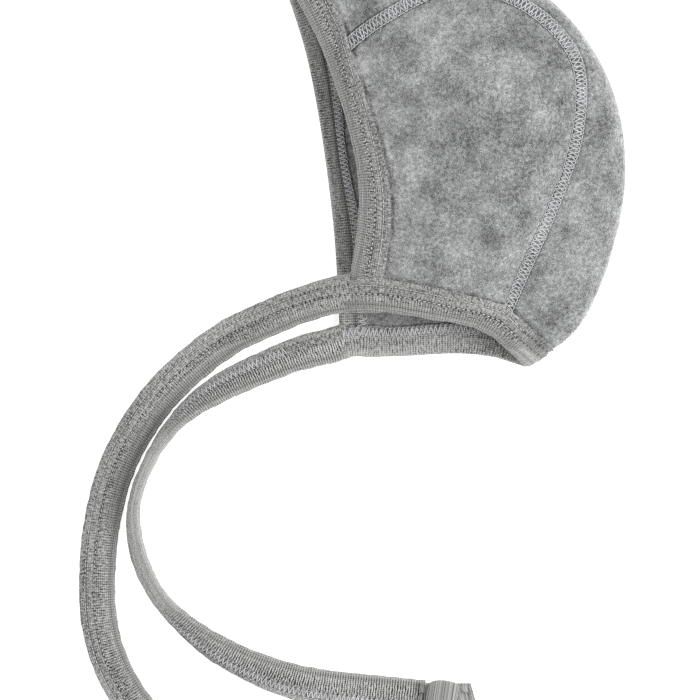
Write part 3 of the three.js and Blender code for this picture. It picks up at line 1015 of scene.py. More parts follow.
@dataclass
class Wardrobe:
    """Builds the materials, each once."""

    made: dict[str, bpy.types.Material] = field(default_factory=dict)

    def __post_init__(self) -> None:
        """Builds the node groups."""
        self.melange = melange_group()
        self.ribs = rib_group()
        self.stitches = stitch_group()

    def material(
        self,
        name: str,
        finish: Finish,
        pattern: Pattern,
        shade: float = 1.0,
        ribs: float = 0.28,
        zigzag: Side = Side.INNER,
    ) -> bpy.types.Material:
        """Gives the material of a finish.

        Args:
            name: The material's name.
            finish: What its surface is like.
            pattern: What lies over the melange.
            shade: How much lighter or darker than the finish it is, a painted light that makes lit and shaded
                copies of one finish.
            ribs: How strongly a tape's ribs show beside the fold.
            zigzag: The leg of a tape that the zigzag is on.

        Returns:
            The material.
        """
        if name in self.made:
            return self.made[name]
        made = bpy.data.materials.new(name)
        made.use_nodes = True
        made.node_tree.nodes.clear()
        graph = Graph(made.node_tree)
        place = graph.node("ShaderNodeAttribute", attribute_name="place").outputs["Vector"]
        own = place
        if pattern is not Pattern.RIBS:
            place = graph.node("ShaderNodeTexCoord").outputs["Object"]
        scales = {"Speck Scale": 0.5 / finish.speck, "Mottle Scale": 0.5 / finish.mottle}
        inputs = {"Place": place, "Streak": finish.streak, "Drift": finish.drift, **scales}
        inputs |= {"Blend": finish.blend, "Contrast": finish.contrast}
        wool = graph.node("ShaderNodeGroup", inputs, node_tree=self.melange)
        tone, height = wool.outputs["Tone"], wool.outputs["Height"]
        if pattern is Pattern.RIBS:
            tone, height = self.knit(graph, place, tone, height, ribs, zigzag)
        # For a panel, the place's X holds the painted shade and light and the melange's patches, taken off
        # the tone
        if pattern is Pattern.PLAIN:
            tone = graph.maths("SUBTRACT", tone, graph.split(own)[0])
        if pattern is Pattern.FIBRES:
            tone = graph.maths("MULTIPLY_ADD", tone, 0.3, graph.maths("MULTIPLY", graph.split(own)[0], 0.7))
        dark = tuple(value * shade for value in finish.dark) + (1.0,)
        light = tuple(value * shade for value in finish.light) + (1.0,)
        share = graph.node("ShaderNodeClamp", {0: tone}).outputs[0]
        colour = graph.node("ShaderNodeMix", {0: share, 6: dark, 7: light}, data_type="RGBA").outputs[2]
        relief = {"Height": height, "Distance": finish.relief, "Strength": 1.0}
        normal = graph.node("ShaderNodeBump", relief).outputs[0]
        surface = graph.node(
            "ShaderNodeBsdfPrincipled",
            {
                "Base Color": colour,
                "Roughness": finish.roughness,
                "Specular IOR Level": 0.2,
                "Sheen Weight": finish.sheen,
                "Sheen Roughness": 0.5,
                "Normal": normal,
            },
        )
        graph.node("ShaderNodeOutputMaterial", {"Surface": surface.outputs[0]})
        self.made[name] = made
        return made

    def knit(
        self,
        graph: Graph,
        place: Socket,
        tone: Socket,
        height: Socket,
        ribs: float,
        zigzag: Side,
    ) -> tuple[Socket, Socket]:
        """Lays the ribs and the rows of stitches over the melange of a tape, with painted shade in the gaps
        of the ribs and loops, in the pressed rows, in the needle holes and between the zigzag's threads.

        Args:
            graph: The material's nodes.
            place: The place on the tape, whose Z is the tone to add there, mostly painted highlights and
                painted shade.
            tone: The melange's tone.
            height: The melange's height.
            ribs: How strongly the ribs show beside the fold.
            zigzag: The leg that the zigzag is on.

        Returns:
            The tone and the height with the ribs and the rows.
        """
        show = KnitMarks()
        bend = graph.maths("MULTIPLY_ADD", graph.noise(place, 420.0, 1.0, 0.5), 0.0012, -0.0006)
        sway = graph.node("ShaderNodeCombineXYZ", {0: bend}).outputs[0]
        bent = graph.vector_maths("ADD", place, sway)
        inputs = {"Place": bent, "Rib Pitch": RIB_PITCH, "Loop Pitch": LOOP_PITCH}
        loops = graph.node("ShaderNodeGroup", inputs, node_tree=self.ribs).outputs
        inputs = {"Place": place, "Zigzag Leg": float(zigzag.value), "Pitch": STITCH_PITCH}
        inputs["First Row"], inputs["Second Row"] = [row + FOLD_ARC for row in STITCH_ROWS]
        marks = graph.node("ShaderNodeGroup", inputs, node_tree=self.stitches).outputs
        added = graph.split(place)[2]
        smooth = graph.node("ShaderNodeClamp", {0: graph.maths("MULTIPLY_ADD", added, -5.0, 1.0)}).outputs[0]
        # Noise that makes the painted shade of the ribs and needle holes stronger in some places than in
        # others
        patchy_strength = graph.maths("MULTIPLY_ADD", graph.noise(place, 110.0, 1.0, 0.5), 1.6, 0.2)
        rib_share = graph.maths("MULTIPLY_ADD", marks["Open"], ribs, show.rib)
        rib_share = graph.maths("MULTIPLY", graph.maths("MULTIPLY", rib_share, patchy_strength), smooth)
        # Tones of the ribs and loops, with painted shade in the gaps between them
        rib = graph.maths("MULTIPLY", graph.maths("SUBTRACT", loops["Rib"], 0.5), rib_share)
        loop = graph.maths("MULTIPLY", graph.maths("SUBTRACT", loops["Loop"], 0.5), show.loop)
        tone = graph.maths("ADD", graph.maths("ADD", tone, rib), loop)
        # Painted light and shade held in the place's Z
        tone = graph.maths("ADD", tone, added)
        # Painted shade in the pressed line of each row, less on the zigzag's leg
        pressed = graph.maths("MULTIPLY_ADD", marks["Turned"], show.groove_turned, show.groove)
        tone = graph.maths("MULTIPLY_ADD", marks["Groove"], graph.maths("MULTIPLY", pressed, smooth), tone)
        tone = graph.maths("MULTIPLY_ADD", marks["Bead"], graph.maths("MULTIPLY", smooth, show.bead), tone)
        # Painted shade in the needle holes, less on the zigzag's leg
        hole = graph.maths("MULTIPLY_ADD", marks["Turned"], show.hole_turned, show.hole)
        hole = graph.maths("MULTIPLY", graph.maths("MULTIPLY", hole, patchy_strength), smooth)
        tone = graph.maths("MULTIPLY_ADD", marks["Hole"], hole, tone)
        # Painted shade between the zigzag's threads
        tone = graph.maths("MULTIPLY_ADD", marks["Under"], graph.maths("MULTIPLY", smooth, show.under), tone)
        tone = graph.maths("ADD", tone, show.all_over)
        height = graph.maths("MULTIPLY_ADD", loops["Loop"], show.loop_height, height)
        height = graph.maths("MULTIPLY_ADD", marks["Hole"], show.hole_height, height)
        return tone, graph.maths("MULTIPLY_ADD", marks["Bead"], show.bead_height, height)


def dress(piece: bpy.types.Object, material: bpy.types.Material, slot: str, *nodes: str) -> bpy.types.Object:
    """Gives a piece its material and the body that it rides on.

    Args:
        piece: The piece.
        material: Its material.
        slot: Not used.
        *nodes: The nodes that it stands for.

    Returns:
        The piece.
    """
    piece.data.materials.append(material)
    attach(piece, "root")
    if nodes:
        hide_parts(*nodes)
    return piece


@dataclass
class Panel:
    """A panel of fleece between two limits across the ribs."""

    cloth: Cloth
    name: str
    start: float
    end: float
    last_along: float
    rows: int
    crossings: int
    seam_at_start: bool
    seam_at_end: bool
    lump_seed: int
    near_seam: float = 0.006
    near_steps: int = 15
    band: float = 0.0027
    band_rise: float = 0.0003
    groove: float = 0.0005
    # Tones of the painted shade under a seam band, in the groove beside it and beside a tape's rim, and of
    # the painted light on steep slopes
    painted_groove_shade: float = 0.3
    painted_band_shade: float = 0.3
    painted_rim_shade: float = 0.42
    painted_steep_light: float = 0.14
    face_reach: float = 0.2
    lump: float = 0.0003

    def across_grid(self, along: np.ndarray) -> tuple[np.ndarray, np.ndarray, np.ndarray]:
        """Spreads the crossings of each rib, closer together beside a seam.

        Args:
            along: The ribs.

        Returns:
            The places across, and the distances to the nearest seam at the start and at the end.
        """
        probe_steps = 80
        across = np.linspace(self.start, self.end, probe_steps + 1)
        grid_along, grid_across = np.meshgrid(along, across, indexing="ij")
        points = self.cloth.point(grid_along, grid_across)
        places, from_start, from_end = [], [], []
        for row in points:
            run = run_of(row)
            total = run[-1]
            near = min(self.near_seam, 0.3 * total)
            head, tail = np.zeros(1), np.array([total])
            if self.seam_at_start:
                head = np.linspace(0, near, self.near_steps + 1)
            if self.seam_at_end:
                tail = np.linspace(total - near, total, self.near_steps + 1)
            inner = np.linspace(head[-1], tail[0], self.crossings + 1)[1:-1]
            distance = np.concatenate([head, inner, tail])
            places.append(np.interp(distance, run, across))
            from_start.append(distance)
            from_end.append(total - distance)
        return np.array(places), np.array(from_start), np.array(from_end)

    def edge_gap(self, points: np.ndarray) -> np.ndarray:
        """Gives how far the nearest bound edge is.

        Args:
            points: The cloth's points, a row for each rib.

        Returns:
            The distances.
        """
        samples = 420
        share = np.linspace(0, 1, samples)
        crossings = self.start + (self.end - self.start) * share
        edges = [self.cloth.point(np.full(samples, float(FACE)), crossings)]
        if not self.seam_at_start:
            edges.append(self.cloth.point(share, np.full(samples, self.start)))
        if not self.seam_at_end:
            edges.append(self.cloth.point(share, np.full(samples, self.end)))
        if self.last_along == NAPE:
            edges.append(self.cloth.point(np.full(samples, float(NAPE)), crossings))
        edge = np.concatenate(edges)
        return np.array([np.linalg.norm(row[:, None] - edge, axis=-1).min(axis=1) for row in points])

    def shading(self, places: ClothPlaces, seam_distance: np.ndarray, edge_gap: np.ndarray) -> np.ndarray:
        """Gives the tone to take off: painted shade under the seam bands, in the grooves beside them and
        beside the tapes' rims, painted light on steep slopes, and patches of the melange.

        Args:
            places: The cloth's places.
            seam_distance: The distance to the nearest seam.
            edge_gap: The distance to the nearest bound edge.

        Returns:
            The tones.
        """
        # Painted shade under the seam band, where its threads shade the fleece, and in the groove beside it
        total = self.painted_band_shade * (1 - smoothstep(seam_distance, self.band - 0.0004, self.band))
        total += self.painted_groove_shade * bump(seam_distance, self.band + 0.0004, 0.0006)
        points = places.point
        near_face = bump(places.along, FACE, self.face_reach)
        rim = TAPE_WIDTH * (1 - face_pinch(self.cloth, points, places.across > FOLD) * near_face)
        # Painted shade beside the tapes' rims
        total += self.painted_rim_shade * bump(edge_gap, rim + 0.0005, 0.0008)
        # Painted light on steep slopes, such as the rounded fold
        total -= self.painted_steep_light * (1 - smoothstep(np.abs(places.normal[..., 2]), 0.15, 0.8))
        return total + spots(points - self.cloth.shift, PATCHES, "shade", self.cloth.depth, self.cloth.height)

    def relief(self, points: np.ndarray, seam_distance: np.ndarray) -> np.ndarray:
        """Gives the height of seam bands, grooves and soft lumps.

        Args:
            points: The cloth's points.
            seam_distance: The distance to the nearest seam.

        Returns:
            The heights over the plain wall.
        """
        band = self.band_rise * (1 - smoothstep(seam_distance, self.band - 0.0005, self.band))
        groove = self.groove * bump(seam_distance, self.band + 0.0006, 0.0006)
        pillow = 0.0003 * bump(seam_distance, self.band + 0.004, 0.0025)
        lumps = self.lump * Waves(self.lump_seed, 0.011).at(points)
        lumps += self.lump * 0.5 * Waves(self.lump_seed + 1, 0.004).at(points)
        return band - groove + pillow + lumps * smoothstep(seam_distance, self.band, 0.012)

    def build(self) -> bpy.types.Object:
        """Builds the panel as a closed wall.

        Returns:
            The panel.
        """
        along = np.linspace(FACE, self.last_along, self.rows + 1)
        across, from_start, from_end = self.across_grid(along)
        distance = np.full_like(from_start, 1.0)
        for has_seam, from_seam in ((self.seam_at_start, from_start), (self.seam_at_end, from_end)):
            if has_seam:
                distance = np.minimum(distance, from_seam)
        places = self.cloth.places(np.broadcast_to(along[:, None], across.shape), across)
        facing = smoothstep(np.abs(places.normal[..., 2]), 0.05, 0.5)
        relief = self.relief(places.point, distance) * facing
        edge_gap = self.edge_gap(places.point)
        shading = np.zeros(places.point.shape)
        shading[..., 0] = self.shading(places, distance, edge_gap)
        outer = places.point + places.normal * (FLEECE_WALL / 2 + relief)[..., None]
        inner_lumps = 0.4 * self.lump * Waves(self.lump_seed + 2, 0.012).at(places.point)
        inner = places.point - places.normal * (FLEECE_WALL / 2 + inner_lumps)[..., None]
        self.outer = outer
        self.normals = places.normal
        self.distance = distance
        self.edge = edge_gap
        rows, columns = across.shape
        number = np.arange(rows * columns).reshape(rows, columns)
        layer = rows * columns

        def skin(ids: np.ndarray) -> np.ndarray:
            """Joins a grid of point numbers into quads."""
            return np.stack([ids[:-1, :-1], ids[:-1, 1:], ids[1:, 1:], ids[1:, :-1]], axis=-1).reshape(-1, 4)

        rim = np.concatenate([number[0, :-1], number[:-1, -1], number[-1, :0:-1], number[:0:-1, 0]])
        after = np.roll(rim, -1)
        edge = np.stack([rim, rim + layer, after + layer, after], axis=-1)
        quads = np.concatenate([skin(number), skin(number)[:, ::-1] + layer, edge])
        shape = Shape()
        points = np.concatenate([outer.reshape(-1, 3), inner.reshape(-1, 3)])
        tones = np.concatenate([shading.reshape(-1, 3), np.zeros((layer, 3))])
        shape.add(points, quads, places=tones)
        return shape.mesh_object(self.name)


@dataclass
class Nap:
    """The short brushed fibres that lie over a panel."""

    panel: Panel
    name: str
    count: int
    seed: int
    length: tuple[float, float] = (0.0012, 0.003)
    thickness: float = 0.00007
    lift: tuple[float, float] = (0.0001, 0.0005)

    def build(self) -> bpy.types.Object:
        """Builds all fibres as one mesh of small closed spindles that are bent over in the middle.

        Returns:
            The fibres.
        """
        rng = np.random.default_rng(self.seed)
        grid, normals, distance = self.panel.outer, self.panel.normals, self.panel.distance
        side_a = grid[1:, :-1] - grid[:-1, :-1]
        side_b = grid[:-1, 1:] - grid[:-1, :-1]
        area = np.linalg.norm(np.cross(side_a, side_b), axis=-1)
        area = area * (distance[:-1, :-1] > self.panel.band + 0.0004)
        area = area * (self.panel.edge[:-1, :-1] > TAPE_WIDTH + 0.001)
        area = area * smoothstep(np.abs(normals[:-1, :-1, 2]), 0.15, 0.5)
        cell = rng.choice(area.size, self.count, p=area.ravel() / area.sum())
        i, j = np.unravel_index(cell, area.shape)
        u, v = rng.random((2, self.count, 1))
        base = grid[i, j] + u * side_a[i, j] + v * side_b[i, j]
        normal = normals[i, j]
        wander = rng.normal(size=(self.count, 3))
        heading = unit(wander - np.sum(wander * normal, axis=-1, keepdims=True) * normal)
        side = np.cross(normal, heading)
        length = rng.uniform(*self.length, (self.count, 1))
        lift = rng.uniform(*self.lift, (self.count, 1))
        bend = rng.uniform(-0.3, 0.3, (self.count, 1)) * length
        sink = 0.00008
        start = base - heading * length / 2 - normal * sink
        end = base + heading * length / 2 - normal * sink + normal * lift * rng.random((self.count, 1))
        middle = base + side * bend + normal * lift
        points = [start, end]
        for turn in (0.0, 2 * math.pi / 3, 4 * math.pi / 3):
            points.append(middle + self.thickness * (math.cos(turn) * side + math.sin(turn) * normal))
        stacked = np.stack(points, axis=1)
        number = np.arange(self.count)[:, None] * len(points)
        faces = []
        for k in range(3):
            a, b = 2 + k, 2 + (k + 1) % 3
            faces.append(number + np.array([0, a, b]))
            faces.append(number + np.array([1, b, a]))
        tones = np.zeros(stacked.shape)
        tones[..., 0] = rng.random((self.count, 1))
        shape = Shape()
        shape.add(stacked, triangles=np.concatenate(faces), places=tones)
        return shape.mesh_object(self.name, smooth=False)


@dataclass
class FlatlockSeam:
    """The band of crossing threads that covers the seam between a side panel and the centre panel."""

    cloth: Cloth
    name: str
    seam: float
    last_along: float
    half_width: float = 0.0026
    repeat: float = 0.0038
    thread: float = 0.0003
    height: float = 0.0014
    stations: int = 280
    stray: float = 0.00022
    seed: int = 3

    def strip(self) -> Strip:
        """Works out the seam's band on the cloth.

        Returns:
            The band.
        """
        along = np.linspace(FACE, self.last_along, self.stations)
        middle = self.cloth.places(along, np.full_like(along, self.seam))
        tangent = unit(np.gradient(middle.point, axis=0))
        side = unit(np.cross(middle.normal, tangent))
        reach = self.half_width * 1.2
        right = self.cloth.walk(middle, side, reach)[-1]
        left = self.cloth.walk(middle, -side, reach)[-1]
        points = np.stack([left.point, middle.point, right.point], axis=1)
        normals = np.stack([left.normal, middle.normal, right.normal], axis=1)
        return Strip(run_of(middle.point), np.array([-reach, 0, reach]), points, normals)

    def build(self) -> bpy.types.Object:
        """Builds the two zigzag threads and the lines along both edges.

        Returns:
            The threads.
        """
        strip = self.strip()
        shape = Shape()
        total = strip.run[-1]
        steps = 6
        turns = int(total / self.repeat * 2)
        corner = np.arange(turns + 1)
        share = np.arange(turns * steps + 1) / steps
        rng = np.random.default_rng(self.seed)
        for sign in (1, -1):
            strays = rng.normal(0, self.stray, (2, turns + 1))
            run = np.interp(share, corner, corner * self.repeat / 2 + strays[0])
            reach = np.where(corner % 2 == 0, 1, -1) * (self.half_width + strays[1]) * sign
            width = np.interp(share, corner, reach)
            over_other = sign * 0.00012 * np.cos(share * math.pi) ** 2
            point, normal = strip.frame(run, width)
            path = point + normal * (self.height + over_other)[:, None]
            shape.add_threads(path[None], normal[None], self.thread)
        for edge in (-self.half_width, self.half_width):
            pitch = self.repeat / 2
            first = np.arange(0, total - pitch, pitch)
            part = np.linspace(0, 1, 4)
            runs = first[:, None] + part * pitch * 0.95
            point, normal = strip.frame(runs, np.full_like(runs, edge))
            arch = 0.0001 * np.sin(part * math.pi)
            shape.add_threads(point + normal * (self.height - 0.0001 + arch)[..., None], normal, self.thread)
        return shape.mesh_object(self.name)


@dataclass
class TapeSection:
    """The section of a tape folded over the cloth's edge, with round turns at the fold and the rims."""

    outer_width: float = TAPE_WIDTH
    inner_width: float = 0.0118
    outside: float = FLEECE_WALL / 2 + TAPE_CLEARANCE + TAPE_WALL
    underside: float = 0.001
    reach: float = TAPE_CLEARANCE + TAPE_WALL
    leg_step: float = 0.00055

    def outline(self) -> np.ndarray:
        """Works out the section's outline.

        Returns:
            Points of width in from the edge and height over the cloth's middle, round the section.
        """
        rim_turns = 4
        fold_turns = 9
        rim = (self.outside - self.underside) / 2
        centre = (self.outside + self.underside) / 2
        points = []
        for k in range(rim_turns + 1):
            angle = -math.pi / 2 + math.pi * k / rim_turns
            points.append((self.outer_width - rim + rim * math.cos(angle), centre + rim * math.sin(angle)))
        for x in np.arange(self.outer_width - rim - self.leg_step, self.leg_step, -self.leg_step):
            points.append((x, self.outside))
        for k in range(fold_turns + 1):
            angle = math.pi / 2 + math.pi * k / fold_turns
            points.append((self.reach * math.cos(angle), self.outside * math.sin(angle)))
        for x in np.arange(self.leg_step, self.inner_width - rim, self.leg_step):
            points.append((x, -self.outside))
        for k in range(rim_turns + 1):
            angle = -math.pi / 2 + math.pi * k / rim_turns
            points.append((self.inner_width - rim + rim * math.cos(angle), -centre + rim * math.sin(angle)))
        points += [(self.inner_width * 0.5, -self.underside), (0.0004, -self.underside * 0.6)]
        points += [(0.0004, self.underside * 0.6), (self.outer_width * 0.5, self.underside)]
        return np.array(points)


def outline_normals(outline: np.ndarray) -> np.ndarray:
    """Works out the outward normals of a closed outline that runs round anticlockwise.

    Args:
        outline: The outline's points.

    Returns:
        A unit normal for each point.
    """
    way = np.roll(outline, -1, axis=0) - np.roll(outline, 1, axis=0)
    return unit(np.stack([way[:, 1], -way[:, 0]], axis=-1))


def arc_from_fold(outline: np.ndarray) -> np.ndarray:
    """Measures how far round a tape's outline each point is from the middle of the fold.

    Args:
        outline: Points of width and height, from the rim of the upper leg round the fold.

    Returns:
        The lengths, above zero on the upper leg and below zero on the lower one.
    """
    around = run_of(np.column_stack([outline, np.zeros(len(outline))]))
    return around[int(np.argmin(outline[:, 0]))] - around


@dataclass
class RibRelief:
    """The fine ribs across a knitted tape, and the stitch grooves along it."""

    rib: float = 0.00005
    stitch_groove: float = 0.00034
    groove_width: float = 0.0008
    quilt: float = 0.00018
    seed: int = 5

    def height(self, run: np.ndarray, width: np.ndarray, rows: tuple[float, ...]) -> np.ndarray:
        """Gives the relief at places on a tape.

        Args:
            run: Lengths along the tape.
            width: Lengths across it.
            rows: The widths at which stitches run.

        Returns:
            The heights.
        """
        wander = 0.12 * Waves(self.seed, 0.012).at(np.stack([run, width], axis=-1))
        ribs = self.rib * np.cos(2 * math.pi * (run / RIB_PITCH + wander))
        soft = self.quilt * Waves(self.seed + 1, 0.006).at(np.stack([run, width * 1.5], axis=-1))
        total = ribs + soft
        for row in rows:
            total = total - self.stitch_groove * bump(width, row, self.groove_width)
        return total


def arc_of_width(outline: np.ndarray) -> float:
    """Tells how much longer the way round a tape's fold to a width is than the width itself.

    Args:
        outline: Points of width and height, from the rim of the upper leg round the fold.

    Returns:
        The extra length.
    """
    leg = len(outline) // 4
    return float(arc_from_fold(outline)[leg] - outline[leg, 0])


def fold_highlight_and_crease_shade(width: np.ndarray) -> np.ndarray:
    """Gives the tone of the painted highlight on the rounded fold and the painted shade of the crease beside
    it, which run along a tape's fold.

    Args:
        width: Lengths in from the fold.

    Returns:
        The tones to add.
    """
    return 0.1 * bump(width, 0.0006, 0.0008) - 0.16 * bump(width, 0.0022, 0.0005)


FOLD_ARC = arc_of_width(TapeSection().outline())


@dataclass
class Binding:
    """A rib-knit tape folded over a bound edge."""

    cloth: Cloth
    name: str
    along: np.ndarray
    across: np.ndarray
    past_ends: float
    press: float
    lift: float
    section: TapeSection = field(default_factory=TapeSection)
    relief: RibRelief = field(default_factory=RibRelief)
    stitching: Stitching = field(default_factory=Stitching)
    ring_step: float = 0.0004

    def strip(self) -> Strip:
        """Walks in from the edge to work out the tape's band.

        Returns:
            The band, with its width measured in from the edge.
        """
        edge = self.cloth.places(self.along, self.across)
        tangent = unit(np.gradient(edge.point, axis=0))
        inward = np.cross(edge.normal, tangent)
        inward = unit(inward - np.sum(inward * edge.normal, axis=-1, keepdims=True) * edge.normal)
        reach = TAPE_WIDTH + 0.001
        passed = self.cloth.walk(edge, inward, reach)
        outside = edge.point - inward * 0.003
        points = np.stack([outside] + [place.point for place in passed], axis=1)
        normals = np.stack([edge.normal] + [place.normal for place in passed], axis=1)
        width = np.concatenate([[-0.003], np.linspace(0, reach, len(passed))])
        run = run_of(edge.point)
        if not self.past_ends:
            pinch = face_pinch(self.cloth, edge.point, self.across > FOLD)
            for row, share in enumerate(pinch):
                wanted = np.where(width > 0, width * (1 - share), width)
                for table in (points, normals):
                    axes = [np.interp(wanted, width, table[row, :, axis]) for axis in range(3)]
                    table[row] = np.stack(axes, axis=-1)
        if self.past_ends:
            first = points[:1] - tangent[:1, None] * self.past_ends
            last = points[-1:] + tangent[-1:, None] * self.past_ends
            points = np.concatenate([first, points, last])
            normals = np.concatenate([normals[:1], normals, normals[-1:]])
            run = np.concatenate([[-self.past_ends], run, [run[-1] + self.past_ends]])
        return Strip(run, width, points, normals)

    def build(self) -> bpy.types.Object:
        """Builds the tape.

        Returns:
            The tape.
        """
        strip = self.strip()
        self.band = strip
        outline = self.section.outline()
        normals = outline_normals(outline)
        run = np.linspace(strip.run[0], strip.run[-1], int((strip.run[-1] - strip.run[0]) / self.ring_step))
        runs, widths = np.meshgrid(run, outline[:, 0], indexing="ij")
        shown = np.abs(outline[:, 1]) > self.section.underside * 1.01
        relief = self.relief.height(runs, widths, self.stitching.rows) * shown
        if self.past_ends:
            close = 1 - smoothstep(np.abs(runs - (strip.run[0] + strip.run[-1]) / 2), 0.006, 0.013)
            relief = relief - close * shown * (0.001 - 0.0009 * bump(widths, 0.006, 0.003))
        to_end = np.minimum(runs - strip.run[0], strip.run[-1] - runs)
        relief = relief + self.lift * (1 - smoothstep(to_end, self.press * 0.75, self.press)) * shown
        width = widths + normals[:, 0] * relief
        height = outline[:, 1] + normals[:, 1] * relief
        rings = strip.place(runs, width, height)
        from_fold = arc_from_fold(outline)
        upper = np.broadcast_to(from_fold > 0, runs.shape)
        # Painted highlight on the upper leg's rounded fold and painted shade in the crease beside it
        tones = np.where(upper, fold_highlight_and_crease_shade(widths), 0.0)
        if not self.past_ends:
            # On the face tape's lower leg, painted shade in the crease beside the first row
            tones = np.where(upper, tones, -0.35 * bump(widths, 0.0058, 0.0007))
        if self.past_ends:
            to_nape = np.abs(runs - (strip.run[0] + strip.run[-1]) / 2)
            # At the nape, painted light on the tape's rounded turn, and painted shade beside it on the upper
            # leg
            painted_turn_light = (1 - smoothstep(to_nape, 0.008, 0.013)) * (1 - smoothstep(widths, 0.005, 0.008))
            tones = tones + 0.17 * painted_turn_light
            tones = tones - 0.2 * bump(to_nape, 0.004, 0.004) * smoothstep(widths, 0.006, 0.009) * upper
        places = np.stack([runs, np.broadcast_to(from_fold, runs.shape), tones], axis=-1)
        shape = Shape()
        shape.add_rings(rings[None], places[None])
        return shape.mesh_object(self.name)

    def build_stitches(self, name: str) -> bpy.types.Object:
        """Builds the rows outside and the zigzag inside.

        Args:
            name: The piece's name.

        Returns:
            The threads.
        """
        shape = Shape()
        start, end = self.band.run[0] + 0.001, self.band.run[-1] - 0.001
        middle = (start + end) / 2
        turn = 0.013 if self.past_ends else 0.0
        press = self.press * 0.88
        plain = self.section.outside
        spans = [
            (start, start + press, plain + self.lift),
            (start + press, middle - turn, plain),
            (middle + turn, end - press, plain),
            (end - press, end, plain + self.lift),
        ]
        for first, last, height in spans:
            self.stitching.sew_rows(shape, self.band, Side.OUTER, height, first, last)
            self.stitching.sew_zigzag(shape, self.band, Side.INNER, height, first, last)
        return shape.mesh_object(name)


